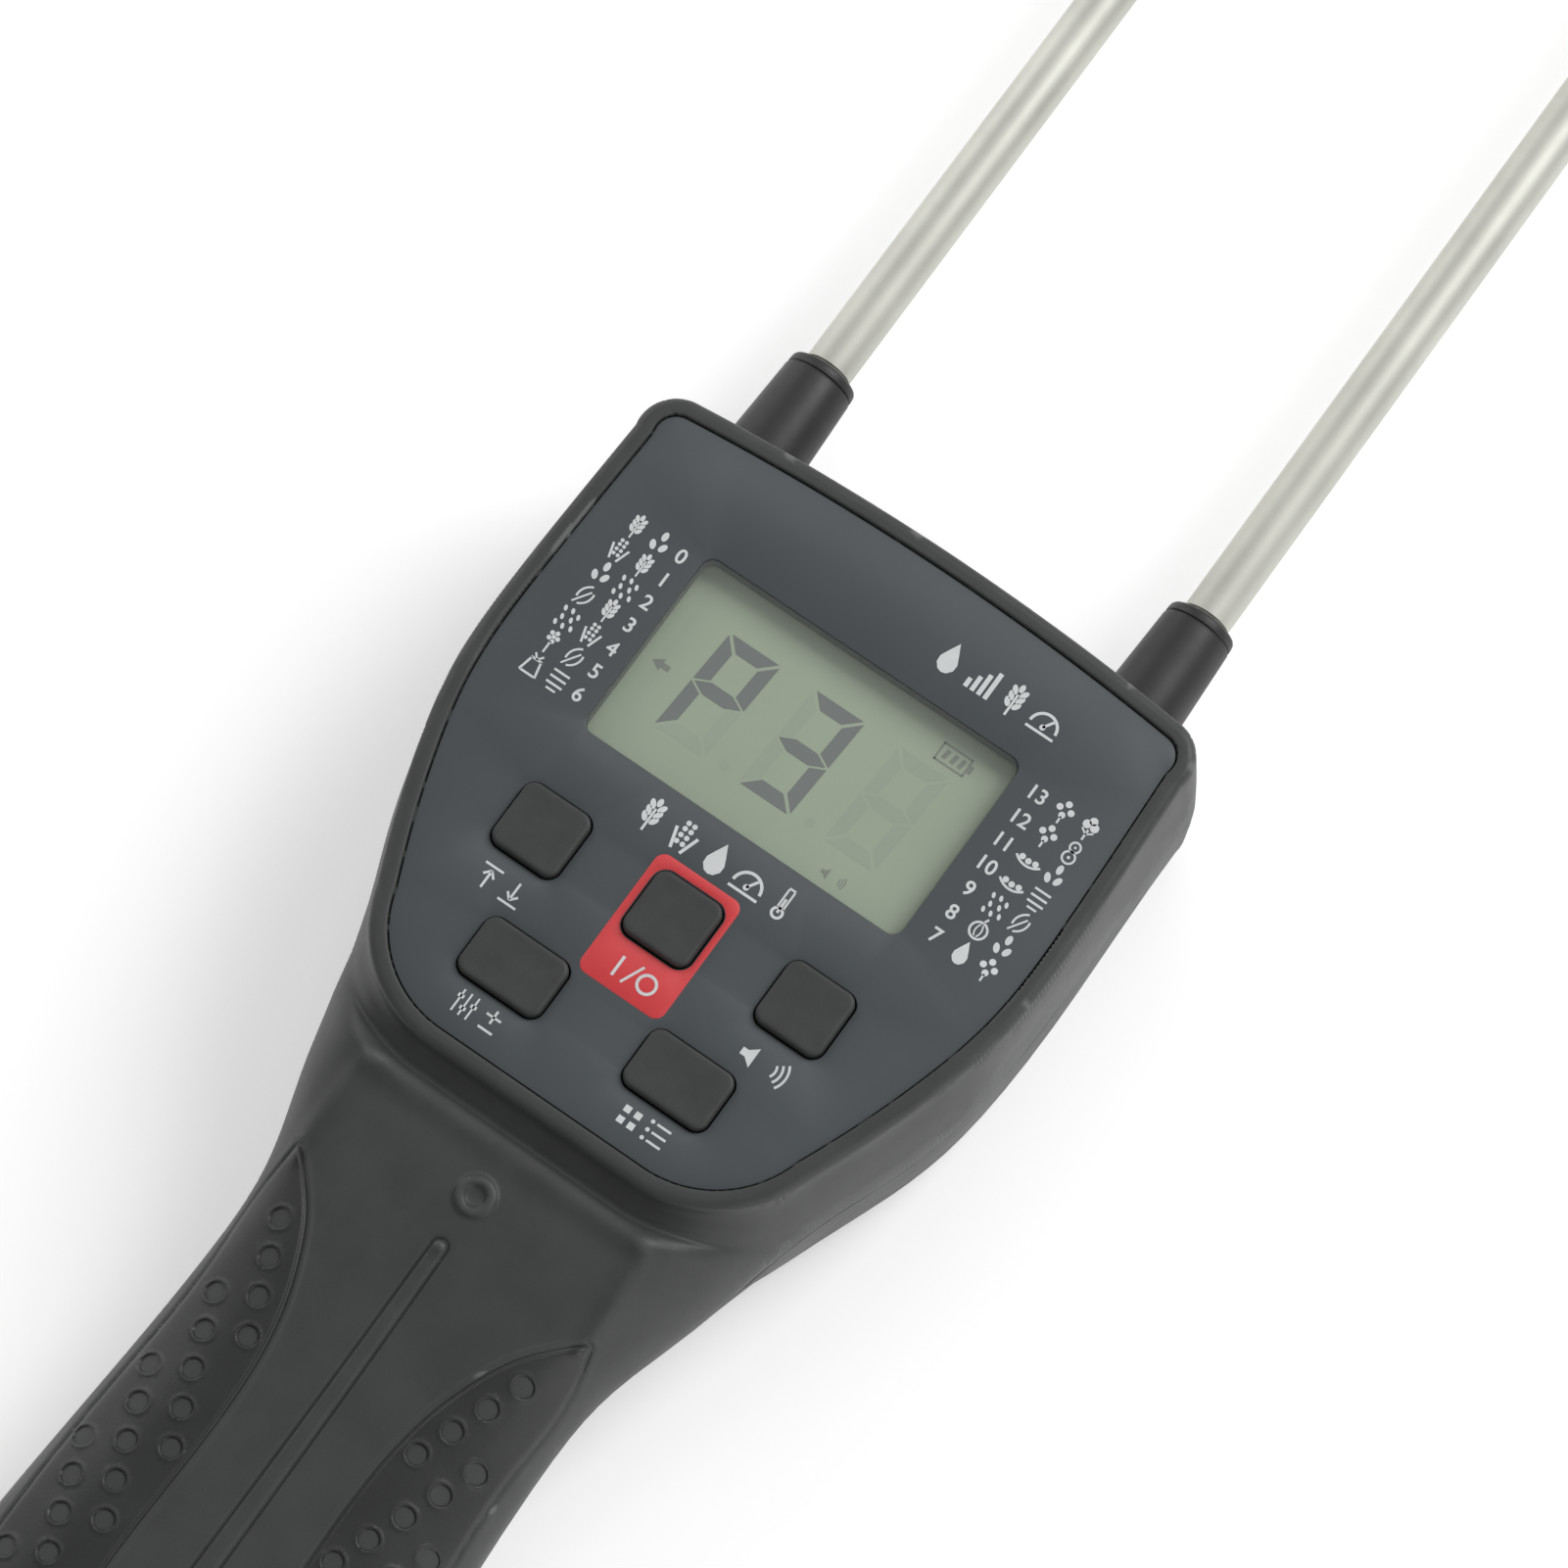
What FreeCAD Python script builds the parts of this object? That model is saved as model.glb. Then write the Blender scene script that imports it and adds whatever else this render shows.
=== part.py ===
import FreeCAD, Part
import math
import os
import re
import Sketcher

# Hand-held grain moisture meter: pod-shaped head, neck and handle, with two long probes.
# Row frame: +X to the right of the display, +Y towards the probe tips, +Z out of the face panel.
# Lengths along Y are written from the middle key and moved by key_row_y into the row frame,
# whose origin is the middle of the footprint on the surface that the meter lies on.

V = FreeCAD.Vector
doc = FreeCAD.newDocument("GrainMoistureMeter")

DRIVING = {
    # whole object
    "key_row_y": -104.8, "part_plane": 14.8, "wall": 2.0, "gap": 0.3,
    # head
    "head_half": 39.0, "head_top": 53.4, "rim_half": 38.3, "rim_top": 30.4, "rim_width": 2.35,
    "deck_bottom": 27.2, "panel_bottom": 29.0, "panel_top": 30.0,
    # neck and handle
    "waist_half": 22.6, "grip_half": 24.7, "butt_y": -137.0, "handle_top": 24.8,
    "pad_depth": 0.9, "pad_proud": 0.4,
    # display
    "window_width": 43.2, "window_height": 24.95, "window_y": 25.0, "window_corner": 1.5,
    "glass_width": 51.0, "glass_height": 31.0, "glass_bottom": 24.2, "glass_top": 27.0,
    # keys
    "key_pitch": 18.0, "key_width": 9.05, "key_height": 8.75, "wide_key_width": 11.3,
    "wide_key_height": 7.75, "wide_key_x": 11.25, "wide_key_y": -14.7, "key_corner": 1.9,
    "key_top": 31.0, "key_gap": 0.35, "flange_bottom": 26.2, "flange_top": 27.05, "flange_reach": 0.8,
    "stem_radius": 2.5, "pill_bottom": 22.15, "pill_depth": 0.4,
    # board
    "board_bottom": 19.4, "board_top": 21.0, "mat_depth": 1.1, "pin_radius": 1.3,
    # probes
    "probe_half": 26.6, "probe_radius": 3.0, "shank_radius": 2.7, "probe_bore": 2.2,
    "probe_back": 34.0, "shoulder_gap": 0.5,
    "tube_front": 316.0, "insulator_length": 4.0, "tip_y": 346.6, "cone_length": 15.0,
    "core_radius": 0.9, "sleeve_base": 5.1, "sleeve_end": 4.4, "sleeve_front": 67.6,
    "sleeve_hole": 5.35, "carrier_back": 34.0, "carrier_front": 46.0,
    "carrier_bottom": 10.0, "pilot_depth": 8.4, "butt_pilot_depth": 5.4,
    # batteries
    "cell_radius": 5.25, "cell_length": 44.5, "cell_x": 5.6, "cell_z": 7.6, "bay_half": 11.4,
    "bay_front": -28.6, "bay_back": -124.6, "bay_top": 13.3, "door_half": 12.0, "door_depth": 1.8,
    "door_front": -26.4, "tongue": 1.0, "door_lift": 0.1, "butt_pin_y": -130.0,
    # speaker
    "speaker_y": 12.0, "speaker_radius": 14.0,
}

sheet = doc.addObject("Spreadsheet::Sheet", "Sizes")
for row, (alias, value) in enumerate(DRIVING.items(), 1):
    sheet.set(f"A{row}", alias)
    sheet.set(f"B{row}", str(value))
    sheet.setAlias(f"B{row}", alias)
doc.recompute()

sub_parts = []


# ---------------------------------------------------------------- helpers

def size(alias):
    """The number in a cell of the sheet."""
    return float(sheet.get(alias))


def named(formula):
    """A formula in aliases, as an expression on the sheet."""
    return re.sub(r"[A-Za-z_]\w+", lambda word: "Sizes." + word.group(), str(formula))


def bind(thing, **formulas):
    """Bind properties to formulas; a double underscore stands for the dot in a path."""
    for path, formula in formulas.items():
        thing.setExpression(path.replace("__", "."), named(formula))
    return thing


def place(thing, x="0", y="0", z="0"):
    """Bind a place, with y counted from the middle key."""
    return bind(thing, Placement__Base__x=x, Placement__Base__y=f"key_row_y + {y}", Placement__Base__z=z)


def keep(label, thing):
    """Name a finished sub-part."""
    thing.Label = label
    sub_parts.append(thing)
    return thing


def new(kind, name):
    return doc.addObject(kind, name)


def box(name, x, y, z, width, length, height):
    """A block whose middle in X is at x, and whose low corner in Y and Z is at y and z."""
    block = bind(new("Part::Box", name), Length=width, Width=length, Height=height)
    return place(block, f"{x} - ({width}) / 2", y, z)


def cylinder(name, x, y, z, radius, length, along="Z"):
    """A cylinder that starts at a point and runs up Z or along +Y."""
    rod = bind(new("Part::Cylinder", name), Radius=radius, Height=length)
    if along == "Y":
        rod.Placement.Rotation = FreeCAD.Rotation(V(1, 0, 0), -90)
    return place(rod, x, y, z)


def fuse(name, shapes):
    union = new("Part::MultiFuse", name)
    union.Shapes = shapes
    return union


def cut(name, base, tools):
    difference = new("Part::Cut", name)
    difference.Base = base
    difference.Tool = tools[0] if len(tools) == 1 else fuse(name + "Tools", tools)
    return difference


def common(name, first, second):
    overlap = new("Part::Common", name)
    overlap.Base = first
    overlap.Tool = second
    return overlap


def body_with_sketch(name, role="XY_Plane"):
    body = new("PartDesign::Body", name)
    return body, sketch_on(body, name + "Sketch", role)


def sketch_on(body, name, role="XY_Plane", lift=None):
    sketch = body.newObject("Sketcher::SketchObject", name)
    plane = [feature for feature in body.Origin.OriginFeatures if feature.Role == role][0]
    sketch.AttachmentSupport = [(plane, "")]
    sketch.MapMode = "FlatFace"
    if lift is not None:
        bind(sketch, AttachmentOffset__Base__z=lift)
    return sketch


def polygon(sketch, corners):
    """A closed outline whose corners are held by formulas from the sketch's origin."""
    first = sketch.GeometryCount
    count = len(corners)
    for i in range(count):
        angle, following = 2 * math.pi * i / count, 2 * math.pi * (i + 1) / count
        start = V(math.cos(angle), math.sin(angle), 0)
        end = V(math.cos(following), math.sin(following), 0)
        sketch.addGeometry(Part.LineSegment(start, end), False)
    for i in range(count):
        sketch.addConstraint(Sketcher.Constraint("Coincident", first + i, 2, first + (i + 1) % count, 1))
    for i, corner in enumerate(corners):
        for axis, formula in zip("XY", corner):
            number = sketch.addConstraint(Sketcher.Constraint("Distance" + axis, -1, 1, first + i, 1, 1.0))
            sketch.setExpression(f"Constraints[{number}]", named(formula))


def rectangle(sketch, x, y, width, height):
    """A rectangle about a middle point."""
    left, right = f"{x} - ({width}) / 2", f"{x} + ({width}) / 2"
    low, high = f"{y} - ({height}) / 2", f"{y} + ({height}) / 2"
    polygon(sketch, [(left, low), (right, low), (right, high), (left, high)])


def circle(sketch, x, y, radius):
    """A circle held by formulas for its centre and radius."""
    index = sketch.addGeometry(Part.Circle(V(1, 1, 0), V(0, 0, 1), 1.0), False)
    for kind, formula in (("DistanceX", x), ("DistanceY", y)):
        number = sketch.addConstraint(Sketcher.Constraint(kind, -1, 1, index, 3, 1.0))
        sketch.setExpression(f"Constraints[{number}]", named(formula))
    number = sketch.addConstraint(Sketcher.Constraint("Radius", index, 1.0))
    sketch.setExpression(f"Constraints[{number}]", named(radius))


def pad(body, sketch, length, downwards=False):
    feature = body.newObject("PartDesign::Pad", sketch.Name + "Pad")
    feature.Profile = sketch
    feature.Reversed = downwards
    return bind(feature, Length=length)


def round_edges(body, radius, chosen):
    """A fillet on the edges that a test chooses from the body as it stands."""
    doc.recompute()
    base = body.Tip
    edges = [f"Edge{i}" for i, edge in enumerate(base.Shape.Edges, 1) if chosen(edge.BoundBox)]
    feature = body.newObject("PartDesign::Fillet", body.Name + f"Fillet{len(body.Group)}")
    feature.Base = (base, edges)
    return bind(feature, Radius=radius)


def rounded_plate(name, width, height, depth, corner):
    """A flat plate with rounded corners, centred on its own origin."""
    body, sketch = body_with_sketch(name)
    rectangle(sketch, "0", "0", width, height)
    pad(body, sketch, depth)
    round_edges(body, corner, lambda extent: extent.ZLength > 0.9 * extent.DiagonalLength)
    return body


def turned(name, corners, role="XY_Plane"):
    """A turned piece: corners are (radius, distance along the axis)."""
    body, sketch = body_with_sketch(name, role)
    polygon(sketch, corners)
    feature = body.newObject("PartDesign::Revolution", name + "Turn")
    feature.Profile = sketch
    feature.ReferenceAxis = (sketch, ["V_Axis"])
    feature.Angle = 360
    return body


def group(name, shapes):
    """Separate solids that share one node."""
    together = new("Part::Compound", name)
    together.Links = shapes
    return together


# ---------------------------------------------------------------- outlines of the housing

def moved_along_normals(points, growth):
    """Points of an outline that runs clockwise, each moved outwards by its own growth."""
    moved = []
    for i, point in enumerate(points):
        ahead, behind = points[(i + 1) % len(points)], points[i - 1]
        along = V(ahead[0] - behind[0], ahead[1] - behind[1], 0).normalize()
        reach = growth(point)
        moved.append(V(point[0] - along.y * reach, point[1] + along.x * reach, 0))
    return moved


def eased(share):
    """A share from 0 to 1 that starts and ends gently."""
    share = min(1.0, max(0.0, share))
    return share * share * (3.0 - 2.0 * share)


def smooth(points):
    curve = Part.BSplineCurve()
    curve.interpolate(points)
    return curve


def mirrored(points):
    return [(-x, y) for x, y in reversed(points)]


def housing_points():
    """Right side of the parting line, from the head's corner down to the butt."""
    head, waist, grip = size("head_half"), size("waist_half"), size("grip_half")
    butt = size("butt_y")
    return [
        (head - 0.3, 45.5), (head, 22.0), (head - 0.4, 10.0), (head - 1.8, 0.0),
        (head - 4.1, -7.5), (head - 6.7, -14.0), (waist + 6.7, -24.0), (waist + 4.0, -34.8),
        (waist + 0.6, -46.8), (waist, -57.0), (waist + 0.4, -68.0), (grip - 0.3, -90.0),
        (grip, butt + 29.0), (grip - 1.9, butt + 13.0),
    ]


def housing_outline(name, level, head_growth, grip_growth):
    """The whole housing's outline at a height, grown apart for the head and the handle."""
    def growth(point):
        head_share = eased((point[1] + 40.0) / 24.0)
        butt_share = eased((size("butt_y") + 26.0 - point[1]) / 26.0)
        grip = grip_growth * (1.0 - 0.65 * butt_share)
        return head_growth * head_share + grip * (1.0 - head_share)

    side = housing_points()
    corner = [(size("head_half") - 4.8, size("head_top") - 1.8), (size("head_half") - 1.6, 49.9)]
    right = corner + side
    ring = moved_along_normals(
        [(0.0, size("head_top"))] + right + [(0.0, size("butt_y"))] + mirrored(right), growth)
    n = len(right)
    top, butt = ring[0], ring[n + 1]
    rights, lefts = ring[1:n + 1], ring[n + 2:]
    curves = [
        Part.Arc(lefts[-1], top, rights[0]), Part.Arc(rights[0], rights[1], rights[2]), smooth(rights[2:]),
        Part.Arc(rights[-1], butt, lefts[0]), smooth(lefts[:-2]), Part.Arc(lefts[-3], lefts[-2], lefts[-1]),
    ]
    return level_sketch(name, curves, level)


def pod_outline(name, level, growth):
    """The raised rim's outline at a height."""
    half, top = size("rim_half"), size("head_top")
    right = [
        (half - 4.6, top - 1.8), (half - 1.7, 49.9), (half - 0.7, 45.5), (half, 25.0), (half - 0.6, 10.0),
        (half - 3.0, 0.0), (half - 6.5, -10.0), (half - 8.8, -15.5), (half - 13.9, -23.4), (14.0, -27.3),
    ]
    ring = moved_along_normals([(0.0, top)] + right + mirrored(right), lambda point: growth)
    n = len(right)
    rights, lefts = ring[1:n + 1], ring[n + 1:]
    curves = [
        Part.Arc(lefts[-1], ring[0], rights[0]), Part.Arc(rights[0], rights[1], rights[2]),
        smooth(rights[2:8]), Part.Arc(rights[7], rights[8], rights[9]), Part.LineSegment(rights[9], lefts[0]),
        Part.Arc(lefts[0], lefts[1], lefts[2]), smooth(lefts[2:8]), Part.Arc(lefts[7], lefts[8], lefts[9]),
    ]
    return level_sketch(name, curves, level)


def level_sketch(name, curves, level):
    sketch = new("Sketcher::SketchObject", name)
    for curve in curves:
        sketch.addGeometry(curve, False)
    return place(sketch, "0", "0", level)


def stacked(name, outline, levels):
    """A closed solid through outlines stacked in height."""
    loft = new("Part::Loft", name)
    loft.Sections = [outline(f"{name}Level{i}", *level) for i, level in enumerate(levels)]
    loft.Solid = True
    loft.Ruled = True
    return loft


# ---------------------------------------------------------------- front shell, panel and grips

KEYS = {
    "limit": ("-key_pitch", "0", "key_width", "key_height"),
    "power": ("0", "0", "key_width", "key_height"),
    "voice": ("key_pitch", "0", "key_width", "key_height"),
    "adjust": ("-wide_key_x", "wide_key_y", "wide_key_width", "wide_key_height"),
    "variety": ("wide_key_x", "wide_key_y", "wide_key_width", "wide_key_height"),
}
BOARD_PINS = [("-26", "3"), ("26", "3"), ("-12", "45.4"), ("12", "45.4"), ("0", "-22.4")]
SHELL_PINS = [("-32.4", "26"), ("32.4", "26"), ("-27.6", "-9"), ("27.6", "-9")]
BUTT_PIN = ("0", "butt_pin_y")


def crown(name, lift, inset, floor="part_plane"):
    """Neck and handle above the parting line, raised by lift and shrunk by inset."""
    levels = [
        (floor, -inset, -inset),
        (f"handle_top - 5.8 + {lift}", -inset - 0.4, -inset - 0.4),
        (f"handle_top - 3.2 + {lift}", -inset - 1.0, -inset - 2.6),
        (f"handle_top - 1.2 + {lift}", -inset - 1.6, -inset - 6.5),
        (f"handle_top + {lift}", -inset - 2.0, -inset - 12.0),
    ]
    return stacked(name, housing_outline, levels)


def grip_prism(name, side, slack):
    """Leaf-shaped column over one grip, from its point at the neck down to the butt."""
    point = [(20.0, -43.7)]
    outer = [(20.9, -50.0), (20.6, -60.0), (21.2, -74.0), (21.9, -90.0), (21.6, -106.0), (19.0, -121.0),
             (13.5, -127.5)]
    inner = [(9.8, -122.0), (9.0, -100.0), (8.8, -74.0), (9.2, -66.0), (10.4, -59.5), (12.2, -54.4),
             (14.2, -50.4), (17.2, -46.6)]
    leaf = moved_along_normals(point + outer + inner, lambda corner: slack)
    leaf = [V(side * corner.x, corner.y, 0) for corner in leaf]
    split = len(point + outer)
    sketch = level_sketch(name + "Leaf", [smooth(leaf[:split]), smooth(leaf[split - 1:] + leaf[:1])],
                          "part_plane - 2")
    column = new("Part::Extrusion", name)
    column.Base = sketch
    column.Dir = V(0, 0, 1)
    column.DirMode = "Custom"
    column.Solid = True
    return bind(column, LengthFwd="14")


def front_shell():
    pod = stacked("Pod", pod_outline, [
        ("part_plane", 0.7), ("rim_top - 1.3", 0.0), ("rim_top", -1.1)])
    skin = fuse("FrontSkin", [pod, crown("Crown", 0, 0.0)])
    wall = size("wall")
    hollow = fuse("FrontHollow", [
        stacked("PodHollow", pod_outline, [("part_plane - 1", 0.7 - wall), ("deck_bottom", 0.1 - wall)]),
        crown("CrownHollow", "-wall", wall, "part_plane - 1")])
    recess = stacked("PanelRecess", pod_outline, [
        ("panel_bottom", -size("rim_width") + 0.15), ("rim_top + 1", -size("rim_width") + 0.15)])
    shell = cut("FrontHollowed", skin, [hollow, recess])
    pins = [cylinder(f"BoardPost{i}", x, y, "board_top", "2.2", "deck_bottom - board_top + 0.5")
            for i, (x, y) in enumerate(BOARD_PINS)]
    pins += [cylinder(f"ShellPost{i}", x, y, "part_plane", "3", "deck_bottom - part_plane + 0.5")
             for i, (x, y) in enumerate(SHELL_PINS)]
    x, y = BUTT_PIN
    pins.append(cylinder("ButtPost", x, y, "part_plane", "3", "handle_top - part_plane - 1"))
    shell = fuse("FrontPosted", [shell] + pins)
    holes = [cylinder(f"BoardPilot{i}", x, y, "board_top - 1", "pin_radius", "6")
             for i, (x, y) in enumerate(BOARD_PINS)]
    holes += [cylinder(f"ShellPilot{i}", x, y, "part_plane - 1", "pin_radius", "pilot_depth + 1")
              for i, (x, y) in enumerate(SHELL_PINS)]
    holes.append(cylinder("ButtPilot", x, "butt_pin_y", "part_plane - 1", "pin_radius", "butt_pilot_depth + 1"))
    holes.append(box("WindowHole", "0", "window_y - window_height / 2", "deck_bottom - 1",
                     "window_width", "window_height", "4"))
    for name, (x, y, width, height) in KEYS.items():
        holes.append(box(f"KeyHole_{name}", x, f"{y} - {height} / 2 - key_gap", "deck_bottom - 1",
                         f"{width} + 2 * key_gap", f"{height} + 2 * key_gap", "4"))
    holes += sleeve_holes("Front")
    holes += [grip_pocket("left", -1), grip_pocket("right", 1)]
    return keep("front_shell", cut("FrontShell", shell, holes))


def sleeve_holes(prefix):
    return [cylinder(f"{prefix}SleeveHole{i}", side + "probe_half", "head_top - 6", "part_plane",
                     "sleeve_hole", "10", "Y") for i, side in enumerate(("-", ""))]


def grip_pocket(side, sign):
    """Shallow seat of a grip pad: its column above a lowered crown."""
    column = grip_prism(f"GripSeat_{side}", sign, 0.15)
    return cut(f"GripPocket_{side}", column, [crown(f"GripFloor_{side}", "-pad_depth", size("pad_depth"))])


def grip_pad(side, sign):
    column = grip_prism(f"GripColumn_{side}", sign, 0.0)
    slab = cut(f"GripSlab_{side}", column, [crown(f"GripUnder_{side}", "-pad_depth", size("pad_depth"))])
    top = crown(f"GripTop_{side}", "pad_proud", -size("pad_proud"))
    return keep(f"grip_pad_{side}", common(f"GripPad_{side}", slab, top))


def face_panel():
    plate = stacked("PanelPlate", pod_outline, [
        ("panel_bottom", -size("rim_width")), ("panel_top", -size("rim_width"))])
    holes = [window_plate("PanelWindow", "0", "0", "panel_bottom - 1", "3")]
    for name, (x, y, width, height) in KEYS.items():
        hole = rounded_plate(f"PanelHole_{name}", f"{width} + 2 * key_gap", f"{height} + 2 * key_gap", "3",
                             "key_corner + key_gap")
        holes.append(place(hole, x, y, "panel_bottom - 1"))
    return keep("face_panel", cut("FacePanel", plate, holes))


def window_plate(name, extra_width, extra_height, level, depth):
    plate = rounded_plate(name, f"window_width + {extra_width}", f"window_height + {extra_height}", depth,
                          "window_corner")
    return place(plate, "0", "window_y", level)


# ---------------------------------------------------------------- back shell and battery door

def back_skin(name):
    """Outside of the back: boxy under the head and rounded under the handle."""
    return stacked(name, housing_outline, [
        ("0", -3.2, -9.4), ("1.6", -1.5, -7.2), ("5.5", -0.4, -3.8), ("11", -0.1, -1.0),
        ("part_plane", 0.0, 0.0)])


def back_shell():
    wall = size("wall")
    skin = back_skin("Back")
    hollow = stacked("BackHollow", housing_outline, [
        ("wall", -2.2 - wall, -7.4 - wall), ("5.5", -0.9 - wall, -4.0 - wall),
        ("11", -0.4 - wall, -1.5 - wall), ("part_plane + 1", -wall, -wall)])
    ribs = [
        box("BayBlock", "0", "bay_back - 1.2", "0.5", "2 * bay_half + 2.8", "bay_front - bay_back + 2.4",
            "bay_top + 0.7"),
        box("DoorFloor", "0", "butt_y", "0.5", "2 * door_half + 5", "bay_back - butt_y", "3.3"),
        cylinder("ButtColumn", "0", "butt_pin_y", "2", "3", "part_plane - 2"),
    ]
    ribs += [cylinder(f"ShellColumn{i}", x, y, "0.5", "3.6", "part_plane - 0.5")
             for i, (x, y) in enumerate(SHELL_PINS)]
    ribs += [cylinder(f"CarrierPost{i}", x, "40", "1", "3", "9") for i, x in enumerate(("-15", "15"))]
    ribs.append(cylinder("SpeakerRib", "0", "speaker_y", "1", "speaker_radius + 1.3", "3.6"))
    inner = common("BackRibs", skin, fuse("BackRibSet", ribs))
    shell = fuse("BackRibbed", [cut("BackHollowed", skin, [hollow]), inner])
    holes = [
        box("Bay", "0", "bay_back", "-1", "2 * bay_half", "bay_front - bay_back", "bay_top + 1"),
        door_recess(),
        cylinder("SpeakerSeat", "0", "speaker_y", "wall", "speaker_radius + 0.1", "8"),
        cylinder("ButtClearance", "0", "butt_pin_y", "0", "1.5", "part_plane + 1"),
        cylinder("ButtCounterbore", "0", "butt_pin_y", "0", "2.8", "9"),
        box("RedSlot", "cell_x", "bay_front - 1", "cell_z - 0.4", "2.4", "3", "0.8"),
        box("BlackSlot", "-cell_x", "bay_front - 1", "cell_z - 0.4", "2.4", "3", "0.8"),
    ]
    for i, (x, y) in enumerate(SHELL_PINS):
        holes.append(cylinder(f"ShellClearance{i}", x, y, "-1", "1.5", "part_plane + 2"))
        holes.append(cylinder(f"ShellCounterbore{i}", x, y, "-1", "2.8", "10"))
    holes += [cylinder(f"CarrierPilot{i}", x, "40", "3", "pin_radius", "8")
              for i, x in enumerate(("-15", "15"))]
    holes += speaker_grille()
    holes += sleeve_holes("Back")
    return keep("back_shell", cut("BackShell", shell, holes))


def speaker_grille():
    """Round sound holes: one in the middle and two rings about it."""
    centres = [(0.0, 0.0)]
    for radius, count in ((4.5, 6), (9.0, 12)):
        centres += [(radius * math.cos(2 * math.pi * i / count), radius * math.sin(2 * math.pi * i / count))
                    for i in range(count)]
    return [cylinder(f"SoundHole{i}", f"{x:.4f}", f"speaker_y + ({y:.4f})", "-1", "0.9", "4")
            for i, (x, y) in enumerate(centres)]


def door_profile(name, slack, low, top, length):
    """Plate with a tongue along both edges, drawn in XZ and padded along Y."""
    body, sketch = body_with_sketch(name, "XZ_Plane")
    half, lip = f"door_half + {slack}", f"door_half + tongue + {slack}"
    step = f"door_depth - 0.8 - {slack}"
    polygon(sketch, [(f"-({half})", low), (half, low), (half, step), (lip, step), (lip, top),
                     (f"-({lip})", top), (f"-({lip})", step), (f"-({half})", step)])
    pad(body, sketch, length)
    return body


def door_recess():
    recess = door_profile("DoorRecess", "gap", "-1", "door_depth + gap", "door_front + gap - butt_y + 5")
    return place(recess, "0", "door_front + gap", "0")


def battery_door():
    """Sliding cover that carries the back's own skin round to the butt, with thumb grooves."""
    body = door_profile("DoorPlate", "0", "door_lift", "door_depth", "door_front - butt_y")
    ridges = sketch_on(body, "RidgeSketch", "XY_Plane", "door_lift")
    for i in range(6):
        rectangle(ridges, "0", f"butt_y - door_front + {18 + 2.4 * i:.1f}", "14", "1.2")
    grooves = body.newObject("PartDesign::Pocket", "ThumbGrooves")
    grooves.Profile = ridges
    grooves.Reversed = True
    bind(grooves, Length="0.6")
    place(body, "0", "door_front", "0")
    return keep("battery_door", common("BatteryDoor", body, back_skin("DoorSkin")))


# ---------------------------------------------------------------- display and board

def display():
    lens = window_plate("Lens", "-0.2", "-0.2", "panel_bottom + 0.1", "panel_top - panel_bottom - 0.2")
    keep("display_window", lens)
    glass = rounded_plate("Glass", "glass_width", "glass_height", "glass_top - glass_bottom", "0.5")
    keep("lcd_glass", place(glass, "0", "window_y", "glass_bottom"))
    reflector = box("Reflector", "0", "window_y - glass_height / 2", "glass_bottom - 0.5",
                    "glass_width", "glass_height - 3", "0.5")
    keep("lcd_reflector", reflector)
    frame = box("FrameBlock", "0", "window_y - glass_height / 2 - 1.2", "board_top",
                "glass_width + 2.4", "glass_height + 2.4", "deck_bottom - board_top")
    holes = [
        box("FrameGlassSeat", "0", "window_y - glass_height / 2", "glass_bottom - 0.5", "glass_width",
            "glass_height", "4"),
        box("FrameMiddle", "0", "window_y - glass_height / 2 + 2", "board_top - 1", "glass_width - 5",
            "glass_height - 7", "6"),
        box("FrameStripSlot", "0", "window_y + glass_height / 2 - 3", "board_top - 1", "44", "2.4", "6"),
    ]
    keep("lcd_frame", cut("LcdFrame", frame, holes))
    keep("zebra_strip", box("ZebraStrip", "0", "window_y + glass_height / 2 - 2.8", "board_top", "43.4",
                            "2", "glass_bottom - board_top"))


def main_board():
    body, sketch = body_with_sketch("Board")
    right = [("28.8", "31"), ("28.8", "-3"), ("23.4", "-5.5"), ("23.4", "-12"), ("18.6", "-24.4")]
    top = [("19.6", "47.6"), ("19.6", "31")]
    side = top + right
    left = [(f"-{x}", y) for x, y in reversed(side)]
    polygon(sketch, side + left)
    for x, y in BOARD_PINS:
        circle(sketch, x, y, "1.5")
    pad(body, sketch, "board_top - board_bottom")
    keep("main_board", place(body, "0", "0", "board_bottom"))
    under = "board_bottom"
    keep("microcontroller", box("Controller", "-9", "-2", f"{under} - 1.5", "10", "10", "1.5"))
    keep("voice_chip", box("VoiceChip", "12", "-4", f"{under} - 1.6", "6.2", "8.8", "1.6"))
    cans = [cylinder(f"Capacitor{i}", f"{-18 + 7 * i}", "31", f"{under} - 6", "2", "6") for i in range(3)]
    keep("board_capacitors", group("Capacitors", cans))


def key_mat():
    body, sketch = body_with_sketch("Mat")
    polygon(sketch, [("-23.2", "5.5"), ("-23.2", "-5.6"), ("-18.4", "-7.5"), ("-18.4", "-19.6"),
                     ("18.4", "-19.6"), ("18.4", "-7.5"), ("23.2", "-5.6"), ("23.2", "5.5")])
    for x, y, width, height in KEYS.values():
        circle(sketch, x, y, "stem_radius + 0.5")
    pad(body, sketch, "mat_depth")
    keep("key_mat", place(body, "0", "0", "board_top"))


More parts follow.
